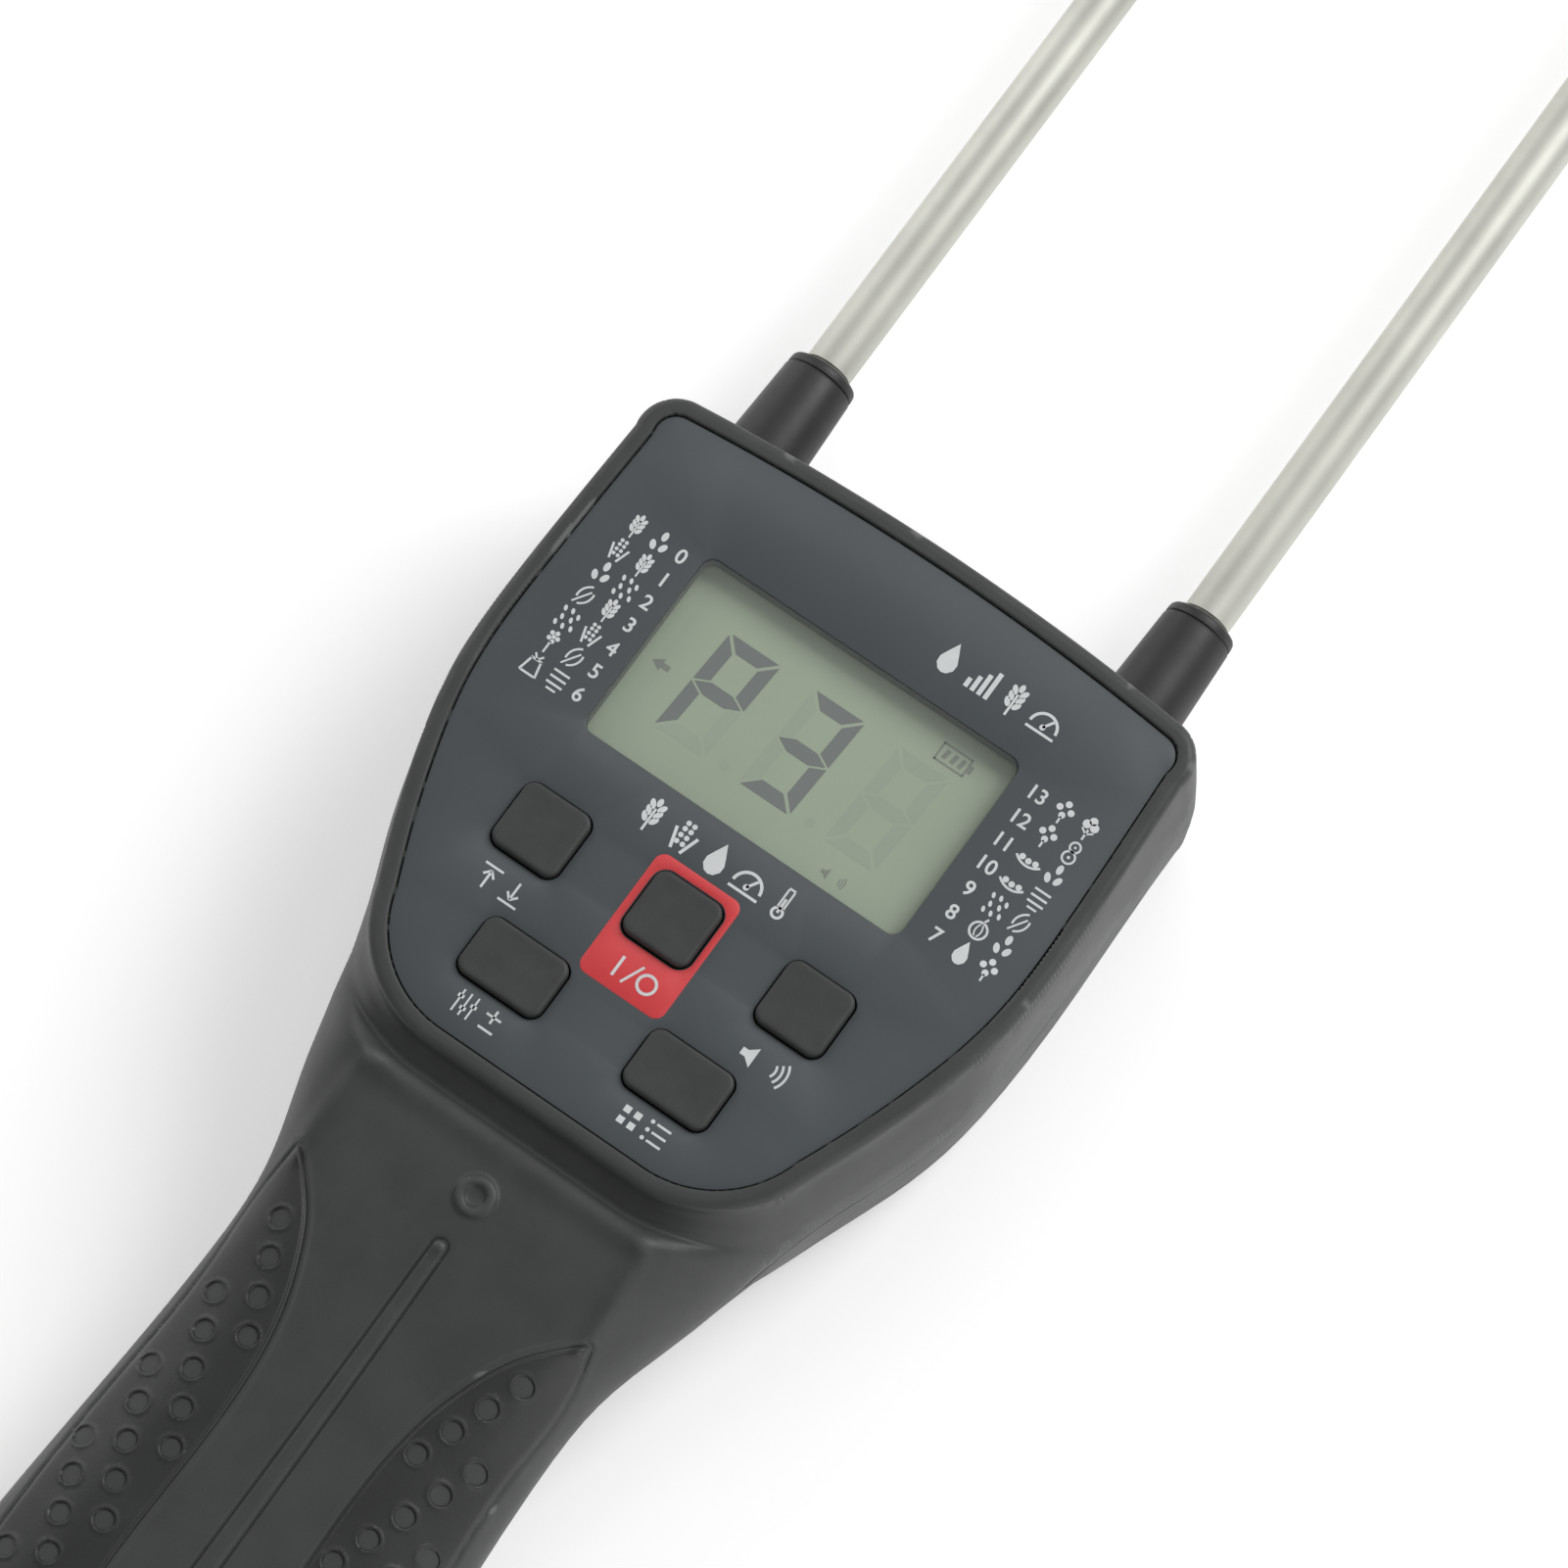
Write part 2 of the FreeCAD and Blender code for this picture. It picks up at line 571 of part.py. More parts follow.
def key(name, x, y, width, height):
    """Cap with a flange that holds it behind the deck, and a stem over its contact."""
    body, sketch = body_with_sketch(f"Key_{name}")
    rectangle(sketch, "0", "0", width, height)
    pad(body, sketch, "key_top - flange_bottom")
    round_edges(body, "key_corner", lambda extent: extent.ZLength > 0.9 * extent.DiagonalLength)
    top = size("key_top") - size("flange_bottom")
    round_edges(body, "0.7", lambda extent: extent.ZMin > top - 0.01)
    flange = sketch_on(body, f"Key_{name}Flange")
    rectangle(flange, "0", "0", f"{width} + 2 * flange_reach", f"{height} + 2 * flange_reach")
    pad(body, flange, "flange_top - flange_bottom")
    stem = sketch_on(body, f"Key_{name}Stem")
    circle(stem, "0", "0", "stem_radius")
    pad(body, stem, "flange_bottom - pill_bottom - pill_depth", True)
    keep(f"key_{name}", place(body, x, y, "flange_bottom"))
    keep(f"contact_pill_{name}", cylinder(f"Pill_{name}", x, y, "pill_bottom", "stem_radius - 0.2",
                                          "pill_depth"))


# ---------------------------------------------------------------- probes

def probe(side, sign):
    """One rod in a line: tube with a thinner shank in the head, insulator, tip, core and collar."""
    x, axis = f"{sign}probe_half", "part_plane"
    shoulder = "sleeve_front + shoulder_gap"
    keep(f"probe_tube_{side}", place(turned(f"Tube_{side}", [
        ("probe_bore", "probe_back"), ("shank_radius", "probe_back"), ("shank_radius", shoulder),
        ("probe_radius", shoulder), ("probe_radius", "tube_front"), ("probe_bore", "tube_front")]),
        x, "0", axis))
    front = "tube_front + insulator_length"
    keep(f"probe_insulator_{side}", place(turned(f"Insulator_{side}", [
        ("1.5", "tube_front - 10"), ("probe_bore", "tube_front - 10"), ("probe_bore", "tube_front"),
        ("probe_radius", "tube_front"), ("probe_radius", front), ("1.5", front)]), x, "0", axis))
    keep(f"probe_tip_{side}", place(turned(f"Tip_{side}", [
        ("0", "tube_front - 8"), ("1.5", "tube_front - 8"), ("1.5", front), ("probe_radius", front),
        ("probe_radius", "tip_y - cone_length"), ("0.35", "tip_y"), ("0", "tip_y")]), x, "0", axis))
    core = cylinder(f"Core_{side}", x, "probe_back - 3", axis, "core_radius",
                    "tube_front - probe_back - 5", "Y")
    keep(f"probe_core_{side}", core)
    base, bore = "head_top - 0.9", "shank_radius + 0.02"
    keep(f"probe_sleeve_{side}", place(turned(f"Sleeve_{side}", [
        (bore, "head_top - 7"), ("6.2", "head_top - 7"), ("6.2", "head_top - 5"),
        ("sleeve_base", "head_top - 5"), ("sleeve_base", base), ("sleeve_end", "sleeve_front - 1.2"),
        ("sleeve_end - 0.4", "sleeve_front - 0.4"), ("sleeve_end - 1.2", "sleeve_front"),
        (bore, "sleeve_front")]), x, "0", axis))


def probe_carrier():
    """U-shaped block that holds both rods and bridges the head under the board."""
    body, sketch = body_with_sketch("Carrier", "XZ_Plane")
    outline = [("20.6", "14"), ("20.6", "board_top - 0.1")]
    outline += [("31.4", "board_top - 0.1"), ("31.4", "carrier_bottom")]
    polygon(sketch, outline + [(f"-({x})", z) for x, z in reversed(outline)])
    pad(body, sketch, "carrier_front - carrier_back")
    block = place(body, "0", "carrier_front", "0")
    holes = []
    for side, sign in (("left", "-"), ("right", "")):
        x = f"{sign}probe_half"
        holes.append(cylinder(f"RodBore_{side}", x, "carrier_back - 1", "part_plane",
                              "shank_radius + 0.02", "20", "Y"))
        holes.append(cylinder(f"SetBore_{side}", x, "40", "carrier_bottom - 1", "1.5",
                              "part_plane - carrier_bottom + 1"))
    holes += [cylinder(f"CarrierHole{i}", x, "40", "9", "1.5", "8") for i, x in enumerate(("-15", "15"))]
    keep("probe_carrier", cut("ProbeCarrier", block, holes))
    grubs = [cylinder(f"SetScrew_{i}", sign + "probe_half", "40", "carrier_bottom + 0.2", "1.5",
                      "part_plane - shank_radius - carrier_bottom - 0.2") for i, sign in enumerate(("-", ""))]
    keep("rod_set_screws", group("SetScrews", grubs))


# ---------------------------------------------------------------- speaker, batteries and wiring

def speaker():
    basket = turned("Basket", [
        ("0", "6"), ("0", "8.5"), ("7", "8.5"), ("7", "6"), ("speaker_radius", "4.4"),
        ("speaker_radius", "wall"), ("speaker_radius - 1.5", "wall"), ("speaker_radius - 1.5", "3.6"),
        ("6", "6")], "XZ_Plane")
    keep("speaker_basket", place(basket, "0", "speaker_y", "0"))
    cone = turned("Cone", [("0", "4.8"), ("0", "5.1"), ("5", "5.1"), ("speaker_radius - 1.6", "2.9"),
                           ("speaker_radius - 1.6", "2.6"), ("5", "4.8")], "XZ_Plane")
    keep("speaker_cone", place(cone, "0", "speaker_y", "0"))


def battery(number, x, front, nub_forward):
    """One cell from its front end at y, with its nub towards the head or the butt."""
    body_y = f"{front} - cell_length"
    if not nub_forward:
        body_y += " + 0.8"
    can = cylinder(f"Can{number}", x, body_y, "cell_z", "cell_radius", "cell_length - 0.8", "Y")
    nub_y = f"{front} - 0.8" if nub_forward else f"{front} - cell_length"
    nub = cylinder(f"Nub{number}", x, nub_y, "cell_z", "1.9", "0.8", "Y")
    keep(f"battery_{number}", fuse(f"Battery{number}", [can, nub]))


def coil(name, x, start):
    """Conical contact spring: wire of 0.5 mm wound back from a plate."""
    turns, length = 4, 4.9
    helix = Part.makeHelix(length / turns, length, 3.6, -6.0)
    wire_start = helix.Edges[0].valueAt(helix.Edges[0].FirstParameter)
    section = Part.Wire(Part.makeCircle(0.25, wire_start, V(0, 1, 0)))
    solid = Part.Wire(helix).makePipeShell([section], True, True)
    spring = new("Part::Feature", name)
    spring.Shape = solid
    spring.Placement.Rotation = FreeCAD.Rotation(V(1, 0, 0), -90)
    return place(spring, x, start, "cell_z")


def battery_contacts():
    near, far = "bay_front - 0.4", "bay_back"
    positive = [box("RedPlate", "cell_x", near, "cell_z - 4", "8", "0.4", "8"),
                box("RedTab", "cell_x", near, "cell_z - 0.2", "2", "2.4", "0.4")]
    keep("contact_positive", fuse("ContactPositive", positive))
    plate = fuse("BlackPlate", [box("BlackFace", "-cell_x", near, "cell_z - 4", "8", "0.4", "8"),
                                box("BlackTab", "-cell_x", near, "cell_z - 0.2", "2", "2.4", "0.4")])
    keep("contact_negative", group("ContactNegative", [plate, coil("NearCoil", "-cell_x",
                                                                   "bay_front - 5.6")]))
    bridge = box("BridgePlate", "0", far, "cell_z - 4", "20", "0.4", "8")
    keep("contact_bridge", group("ContactBridge", [bridge, coil("FarCoil", "cell_x", "bay_back + 0.7")]))


def wire_route(points):
    """Straight runs joined by tangent arcs."""
    corners = [V(x, y + size("key_row_y"), z) for x, y, z in points]
    edges, start = [], corners[0]
    for before, corner, after in zip(corners, corners[1:], corners[2:]):
        inwards, onwards = (corner - before).normalize(), (after - corner).normalize()
        turn = inwards.getAngle(onwards)
        trim = 0.45 * min((corner - before).Length, (after - corner).Length)
        radius = trim / math.tan(turn / 2)
        arc_start, arc_end = corner - inwards * trim, corner + onwards * trim
        to_centre = (onwards - inwards).normalize()
        middle = corner + to_centre * (radius / math.cos(turn / 2) - radius)
        edges.append(Part.LineSegment(start, arc_start).toShape())
        edges.append(Part.Arc(arc_start, middle, arc_end).toShape())
        start = arc_end
        print(f"wire bend radius {radius:.2f} mm")
    edges.append(Part.LineSegment(start, corners[-1]).toShape())
    return Part.Wire(edges)


def insulated_wire(name, points, radius=0.6):
    """A lead swept along its route."""
    route = wire_route(points)
    first = route.Edges[0]
    heading = first.tangentAt(first.FirstParameter)
    section = Part.Wire(Part.makeCircle(radius, route.Edges[0].valueAt(first.FirstParameter), heading))
    lead = new("Part::Feature", name)
    lead.Shape = route.makePipeShell([section], True, False)
    expected = math.pi * radius ** 2 * route.Length
    if abs(lead.Shape.Volume - expected) > 0.02 * expected:
        raise ValueError(f"{name} has {lead.Shape.Volume:.1f} mm3 and needs {expected:.1f}")
    return lead


def wiring():
    board, cell_x, cell_z = size("board_bottom"), size("cell_x"), size("cell_z")
    axis, tab_end = size("part_plane"), size("bay_front") + 2.0
    for label, sign in (("battery_lead_red", 1), ("battery_lead_black", -1)):
        x, outer_x = sign * cell_x, sign * (cell_x + 1.5)
        keep(label, insulated_wire(label + "_wire", [
            (x, tab_end, cell_z), (x, tab_end + 4, cell_z), (outer_x, tab_end + 7.5, 12.5),
            (outer_x, tab_end + 7.5, board)]))
    for side, sign in (("left", -1), ("right", 1)):
        x, back = sign * size("probe_half"), size("probe_back") - 3
        inner_x = x - sign * 3.5
        keep(f"probe_lead_{side}", insulated_wire(f"probe_lead_{side}_wire", [
            (x, back, axis), (x, back - 5, axis), (inner_x, back - 11, 13.5), (inner_x, back - 11, board)]))
    middle = size("speaker_y") + 5
    pair = [insulated_wire(f"speaker_lead_{i}", [
        (x, middle, 8.5), (x, middle, 12.5), (x, middle + 3.5, 15.5), (x, middle + 3.5, board)], 0.5)
        for i, x in enumerate((-2.5, 2.5))]
    keep("speaker_leads", group("SpeakerLeads", pair))


# ---------------------------------------------------------------- fasteners

def screw(name, x, y, level, shank, head_radius="2.6", up=True):
    """Pan-head screw: level is the head's seat, and the shank runs up or down from it."""
    way = "" if up else "-"
    body = turned(name, [("0", f"{way}({shank})"), ("pin_radius", f"{way}({shank})"), ("pin_radius", "0"),
                         (head_radius, "0"), (head_radius, f"-({way}1.4)"),
                         (f"{head_radius} - 0.6", f"-({way}1.9)"), ("0", f"-({way}1.9)")], "XZ_Plane")
    return place(body, x, y, level)


def fasteners():
    shell = [screw(f"ShellScrew{i}", x, y, "9", "part_plane + pilot_depth - 9.3")
             for i, (x, y) in enumerate(SHELL_PINS)]
    shell.append(screw("ButtScrew", BUTT_PIN[0], BUTT_PIN[1], "9", "part_plane + butt_pilot_depth - 9.3"))
    keep("shell_screws", group("ShellScrews", shell))
    board = [screw(f"BoardScrew{i}", x, y, "board_bottom", "6.2", "2.2") for i, (x, y) in
             enumerate(BOARD_PINS)]
    keep("board_screws", group("BoardScrews", board))
    carrier = [screw(f"CarrierScrew{i}", x, "40", "14", "10", "2.6", False)
               for i, x in enumerate(("-15", "15"))]
    keep("carrier_screws", group("CarrierScrews", carrier))


# ---------------------------------------------------------------- assembly

front_shell()
back_shell()
battery_door()
face_panel()
display()
main_board()
key_mat()
for key_name, (key_x, key_y, key_w, key_h) in KEYS.items():
    key(key_name, key_x, key_y, key_w, key_h)
for grip_side, grip_sign in (("left", -1), ("right", 1)):
    grip_pad(grip_side, grip_sign)
for probe_side, probe_sign in (("left", "-"), ("right", "")):
    probe(probe_side, probe_sign)
probe_carrier()
speaker()
battery(1, "cell_x", "bay_front - 0.4", True)
battery(2, "cell_x", "bay_front - 0.4 - cell_length", True)
battery(3, "-cell_x", "bay_front - 6.1", False)
battery(4, "-cell_x", "bay_front - 6.1 - cell_length", False)
battery_contacts()
wiring()
fasteners()
doc.recompute()

for thing in doc.Objects:
    if "Invalid" in thing.State or "Error" in thing.State:
        raise RuntimeError(f"{thing.Name} failed: {thing.State}")
for part in sub_parts:
    if part.Shape.isNull() or not part.Shape.isValid() or not part.Shape.Solids:
        raise RuntimeError(f"{part.Label} has no valid solid")

os.makedirs("parts", exist_ok=True)
for part in sub_parts:
    part.Shape.exportStep(f"parts/{part.Label}.step")
    extent = part.Shape.BoundBox
    print(f"{part.Label:24s} {len(part.Shape.Solids):2d} solids {part.Shape.Volume:10.1f} mm3  "
          f"x {extent.XMin:7.2f} {extent.XMax:7.2f}  y {extent.YMin:8.2f} {extent.YMax:8.2f}  "
          f"z {extent.ZMin:6.2f} {extent.ZMax:6.2f}")
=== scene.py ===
"""Grain moisture meter with two long probes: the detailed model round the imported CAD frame.

Shapes are worked out in millimetres, with x and y counted from the middle of the power key and z up
from the floor, and every piece is written in metres in the frame of the CAD.
"""
import math
from contextlib import contextmanager

import bmesh
import bpy
import numpy as np
from mathutils import Matrix, Vector
from mathutils.geometry import delaunay_2d_cdt


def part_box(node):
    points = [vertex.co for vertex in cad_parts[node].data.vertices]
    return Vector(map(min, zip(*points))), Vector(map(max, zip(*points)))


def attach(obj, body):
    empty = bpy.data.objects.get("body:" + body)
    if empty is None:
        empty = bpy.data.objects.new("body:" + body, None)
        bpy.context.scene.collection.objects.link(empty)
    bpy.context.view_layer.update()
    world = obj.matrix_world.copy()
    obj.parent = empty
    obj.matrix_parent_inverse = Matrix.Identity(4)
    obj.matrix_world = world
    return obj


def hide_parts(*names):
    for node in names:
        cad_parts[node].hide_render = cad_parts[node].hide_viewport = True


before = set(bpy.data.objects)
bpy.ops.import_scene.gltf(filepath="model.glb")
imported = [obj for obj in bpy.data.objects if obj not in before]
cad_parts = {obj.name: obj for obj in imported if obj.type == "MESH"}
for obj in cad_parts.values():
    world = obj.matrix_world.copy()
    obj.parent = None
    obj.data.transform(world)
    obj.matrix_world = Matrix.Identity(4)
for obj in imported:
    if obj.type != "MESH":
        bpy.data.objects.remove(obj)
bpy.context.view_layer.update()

MM = 0.001
METER = "meter_body"


# ---- sizes from the frame

def middle(node):
    """Middle of a CAD node, in millimetres."""
    low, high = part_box(node)
    return (low + high) / 2 / MM


def extent(node):
    """Lowest and highest corner of a CAD node, in millimetres from the power key."""
    low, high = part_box(node)
    shift = Vector((0, ROW_Y, 0))
    return low / MM - shift, high / MM - shift


ROW_Y = middle("key_power").y
PANEL_TOP = extent("face_panel")[1].z
PANEL_BOTTOM = extent("face_panel")[0].z
GLASS_TOP = extent("lcd_glass")[1].z
KEY_TOP = extent("key_power")[1].z
ROD_X = middle("probe_tube_right").x
PARTING = middle("probe_tube_right").z
WINDOW = middle("display_window").y - ROW_Y
HEAD_HALF = 39.0
HEAD_TOP = 53.4
BUTT = -137.0
RIM_TOP = 30.4
RIM_HALF = 38.3
HANDLE_TOP = 24.5


# ---- curves in the plane

def spline(points, step):
    """Points along a natural cubic spline, about a step apart."""
    knots = np.array(points, float)
    length = np.concatenate([[0], np.cumsum(np.linalg.norm(np.diff(knots, axis=0), axis=1))])
    span = np.diff(length)
    count = len(knots)
    matrix, right = np.eye(count), np.zeros((count, 2))
    for i in range(1, count - 1):
        matrix[i, i - 1:i + 2] = span[i - 1], 2 * (span[i - 1] + span[i]), span[i]
        right[i] = 6 * ((knots[i + 1] - knots[i]) / span[i] - (knots[i] - knots[i - 1]) / span[i - 1])
    bend = np.linalg.solve(matrix, right)
    along = np.linspace(0, length[-1], max(3, int(length[-1] / step) + 1))
    k = np.clip(np.searchsorted(length, along) - 1, 0, count - 2)
    ahead, behind = (along - length[k])[:, None], (length[k + 1] - along)[:, None]
    gap = span[k][:, None]
    return ((bend[k] * behind ** 3 + bend[k + 1] * ahead ** 3) / (6 * gap)
            + (knots[k] / gap - bend[k] * gap / 6) * behind
            + (knots[k + 1] / gap - bend[k + 1] * gap / 6) * ahead)


def arc(first, through, last, step):
    """Points along the circular arc through three points."""
    (ax, ay), (bx, by), (cx, cy) = first, through, last
    d = 2 * (ax * (by - cy) + bx * (cy - ay) + cx * (ay - by))
    a2, b2, c2 = ax * ax + ay * ay, bx * bx + by * by, cx * cx + cy * cy
    ux = (a2 * (by - cy) + b2 * (cy - ay) + c2 * (ay - by)) / d
    uy = (a2 * (cx - bx) + b2 * (ax - cx) + c2 * (bx - ax)) / d
    radius = math.hypot(ax - ux, ay - uy)
    angles = [math.atan2(y - uy, x - ux) for x, y in (first, through, last)]
    turn = (angles[2] - angles[0]) % (2 * math.pi)
    if (angles[1] - angles[0]) % (2 * math.pi) > turn:
        turn -= 2 * math.pi
    count = max(3, int(abs(turn) * radius / step) + 1)
    sweep = angles[0] + np.linspace(0, turn, count)
    return np.stack([ux + radius * np.cos(sweep), uy + radius * np.sin(sweep)], 1)


def line(first, last, step):
    count = max(2, int(math.dist(first, last) / step) + 1)
    return np.linspace(first, last, count)


def joined(*runs):
    """One closed outline from runs that meet end to end."""
    return np.concatenate([run[:-1] for run in runs])


def mirrored(points):
    return [(-x, y) for x, y in reversed(points)]


def moved(loop, distance):
    """An outline that runs clockwise, moved outwards along its normals."""
    ahead, behind = np.roll(loop, -1, 0), np.roll(loop, 1, 0)
    along = ahead - behind
    along /= np.linalg.norm(along, axis=1)[:, None]
    return loop + distance * np.stack([-along[:, 1], along[:, 0]], 1)


def inside_distance(points, loop):
    """Distance of each point from a closed outline, positive inside it."""
    nearest = np.full(len(points), 1e18)
    inside = np.zeros(len(points), bool)
    x, y = points[:, 0], points[:, 1]
    for (px, py), (qx, qy) in zip(loop, np.roll(loop, -1, 0)):
        dx, dy = qx - px, qy - py
        share = np.clip(((x - px) * dx + (y - py) * dy) / (dx * dx + dy * dy), 0, 1)
        nearest = np.minimum(nearest, (x - px - share * dx) ** 2 + (y - py - share * dy) ** 2)
        if py != qy:
            crosses = ((py > y) != (qy > y)) & (x < px + (y - py) / (qy - py) * dx)
            inside ^= crosses
    return np.where(inside, 1, -1) * np.sqrt(nearest)


def eased(share):
    share = np.clip(share, 0, 1)
    return share * share * (3 - 2 * share)


def housing_outline(step):
    """The parting line round the whole housing, clockwise from the top."""
    head, waist, grip = HEAD_HALF, 22.6, 24.7
    corner = [(head - 4.8, HEAD_TOP - 1.8), (head - 1.6, 49.9), (head - 0.3, 45.5)]
    side = [(head - 0.3, 45.5), (head, 22.0), (head - 0.4, 10.0), (head - 1.8, 0.0), (head - 4.1, -7.5),
            (head - 6.7, -14.0), (waist + 6.7, -24.0), (waist + 4.0, -34.8), (waist + 0.6, -46.8),
            (waist, -57.0), (waist + 0.4, -68.0), (grip - 0.3, -90.0), (grip, BUTT + 29.0),
            (grip - 1.9, BUTT + 13.0)]
    left_corner, left_side = mirrored(corner), mirrored(side)
    return joined(
        arc(left_corner[-1], (0, HEAD_TOP), corner[0], step), arc(*corner, step), spline(side, step),
        arc(side[-1], (0, BUTT), left_side[0], step), spline(left_side, step), arc(*left_corner, step))


def pod_outline(step):
    """The raised rim round the panel, clockwise from the top."""
    half = RIM_HALF
    corner = [(half - 4.6, HEAD_TOP - 1.8), (half - 1.7, 49.9), (half - 0.7, 45.5)]
    side = [(half - 0.7, 45.5), (half, 25.0), (half - 0.6, 10.0), (half - 3.0, 0.0), (half - 6.5, -10.0),
            (half - 8.8, -15.5)]
    turn = [(half - 8.8, -15.5), (half - 13.9, -23.4), (14.0, -27.3)]
    foot = (14.0, -27.3)
    return joined(
        arc(mirrored(corner)[-1], (0, HEAD_TOP), corner[0], step), arc(*corner, step),
        spline(side, step), arc(*turn, step), line(foot, (-foot[0], foot[1]), step),
        arc(*mirrored(turn), step), spline(mirrored(side), step), arc(*mirrored(corner), step))


def leaf_outline(side, step):
    """One grip pad, from its point at the neck round to the butt and back."""
    outer = [(20.0, -43.7), (20.9, -50.0), (20.6, -60.0), (21.2, -74.0), (21.9, -90.0), (21.6, -106.0),
             (19.0, -121.0), (13.5, -127.5)]
    inner = [(13.5, -127.5), (9.8, -122.0), (9.0, -100.0), (8.8, -74.0), (9.2, -66.0), (10.4, -59.5),
             (12.2, -54.4), (14.2, -50.4), (17.2, -46.6), (20.0, -43.7)]
    loop = joined(spline(outer, step), spline(inner, step))
    if side < 0:
        loop = (loop * (-1, 1))[::-1]
    return loop


def rounded_rectangle(x, y, width, height, corner):
    """A closed outline, clockwise, with the same number of points at any size."""
    per_corner, per_side = 10, 8
    points = []
    for quarter, (sx, sy) in enumerate([(1, 1), (1, -1), (-1, -1), (-1, 1)]):
        cx, cy = x + sx * (width / 2 - corner), y + sy * (height / 2 - corner)
        start = math.pi / 2 - quarter * math.pi / 2
        for i in range(per_corner + 1):
            angle = start - i * math.pi / 2 / per_corner
            points.append((cx + corner * math.cos(angle), cy + corner * math.sin(angle)))
        here = points[-1]
        nx, ny = sy, -sx
        cx, cy = x + nx * (width / 2 - corner), y + ny * (height / 2 - corner)
        there = (cx + corner * math.cos(angle), cy + corner * math.sin(angle))
        points += [tuple(p) for p in np.linspace(here, there, per_side + 1)[1:-1]]
    return np.array(points)


def circle(x, y, radius, count=32):
    angle = -np.arange(count) * 2 * math.pi / count
    return np.stack([x + radius * np.cos(angle), y + radius * np.sin(angle)], 1)


HOUSING = housing_outline(0.6)
POD = pod_outline(0.6)
LEAVES = {"left": leaf_outline(-1, 0.5), "right": leaf_outline(1, 0.5)}


# ---- meshes

def new_mesh(name, points, faces):
    """A mesh in metres from points in millimetres from the power key."""
    mesh = bpy.data.meshes.new(name)
    place = (np.array(points, float) + (0, ROW_Y, 0)) * MM
    mesh.from_pydata(place.tolist(), [], [list(map(int, face)) for face in faces])
    return mesh


@contextmanager
def reworked(mesh):
    """The mesh open for editing, and written back afterwards."""
    work = bmesh.new()
    work.from_mesh(mesh)
    yield work
    work.to_mesh(mesh)
    work.free()


def in_scene(name, data):
    thing = bpy.data.objects.new(name, data)
    bpy.context.scene.collection.objects.link(thing)
    return thing


def dressed(name, mesh, material, body=METER):
    """An object in the scene: riding on a body and a material."""
    mesh.materials.clear()
    mesh.materials.append(material)
    thing = in_scene(name, mesh)
    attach(thing, body)
    return thing


def piece(name, points, faces, material, replaces=(), sharp=35.0, body=METER):
    """A cleaned and smoothed piece, which may stand for CAD nodes."""
    mesh = new_mesh(name, points, faces)
    with reworked(mesh) as work:
        bmesh.ops.remove_doubles(work, verts=work.verts, dist=2e-6)
        bmesh.ops.dissolve_degenerate(work, edges=work.edges, dist=1e-7)
        bmesh.ops.recalc_face_normals(work, faces=work.faces)
    mesh.shade_smooth()
    mesh.set_sharp_from_angle(angle=math.radians(sharp))
    thing = dressed(name, mesh, material, body)
    if replaces:
        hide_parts(*replaces)


def triangulate(outer, holes, points=()):
    """Triangles that fill an outline, leave the holes open and use the points inside it."""
    corners, edges = [], []
    for loop in [outer] + list(holes):
        start, count = len(corners), len(loop)
        corners += [Vector(p) for p in loop]
        edges += [(start + i, start + (i + 1) % count) for i in range(count)]
    if len(points):
        points = np.asarray(points)
        clear = inside_distance(points, outer) > 0.04
        for hole in holes:
            clear &= inside_distance(points, hole) < -0.04
        corners += [Vector(p) for p in points[clear]]
    found = delaunay_2d_cdt(corners, edges, [], 1, 1e-6)
    flat = np.array([tuple(p) for p in found[0]])
    triangles = np.array(found[2])
    centres = flat[triangles].mean(1)
    keep = inside_distance(centres, outer) > 0
    for hole in holes:
        keep &= inside_distance(centres, hole) < 0
    return flat, triangles[keep]


ROW_SHARE = 0.866       # height of a triangle with sides of 1


def thinned(points, cell):
    """The first point in each cell of a square grid."""
    points = np.concatenate(points)
    keys = np.floor(points / cell).astype(int)
    first = np.unique(keys, axis=0, return_index=True)[1]
    return points[np.sort(first)]


def lattice(outline, spacing):
    """Points on a triangular grid over an outline's box."""
    low, high = outline.min(0), outline.max(0)
    rows = np.arange(low[1], high[1], spacing * ROW_SHARE)
    columns = np.arange(low[0], high[0], spacing)
    return np.array([(x + (i % 2) * spacing / 2, y) for i, y in enumerate(rows) for x in columns])


def rows_beside(outline, offsets):
    """Points of an outline moved by each offset, less those that a corner folds back."""
    rows = []
    for offset in offsets:
        row = moved(outline, offset)
        rows.append(row[np.abs(inside_distance(row, outline) + offset) < 0.05])
    return rows


def shell_between(outer, holes, points, height, floor):
    """A closed solid over an outline, from a floor function up to a height function."""
    flat, triangles = triangulate(outer, holes, points)
    top = np.column_stack([flat, height(flat)])
    low = np.column_stack([flat, floor(flat)])
    count = len(flat)
    return np.concatenate([top, low]), two_sheets(triangles, count) + rim_faces(triangles, count)


def two_sheets(triangles, shift):
    """A sheet's faces and those of a copy, whose points are a shift later, seen from its back."""
    return [tuple(t) for t in triangles] + [(a + shift, c + shift, b + shift) for a, b, c in triangles]


def rim_faces(triangles, shift):
    """Faces that join the open border of a sheet to a copy whose points are a shift later."""
    ways = set()
    for a, b, c in triangles:
        ways.update([(a, b), (b, c), (c, a)])
    return [(b, a, a + shift, b + shift) for a, b in ways if (b, a) not in ways]


def band(first, second, count):
    """Faces between two rings of points, whose first points have the indices given."""
    return [(first + i, first + (i + 1) % count, second + (i + 1) % count, second + i)
            for i in range(count)]


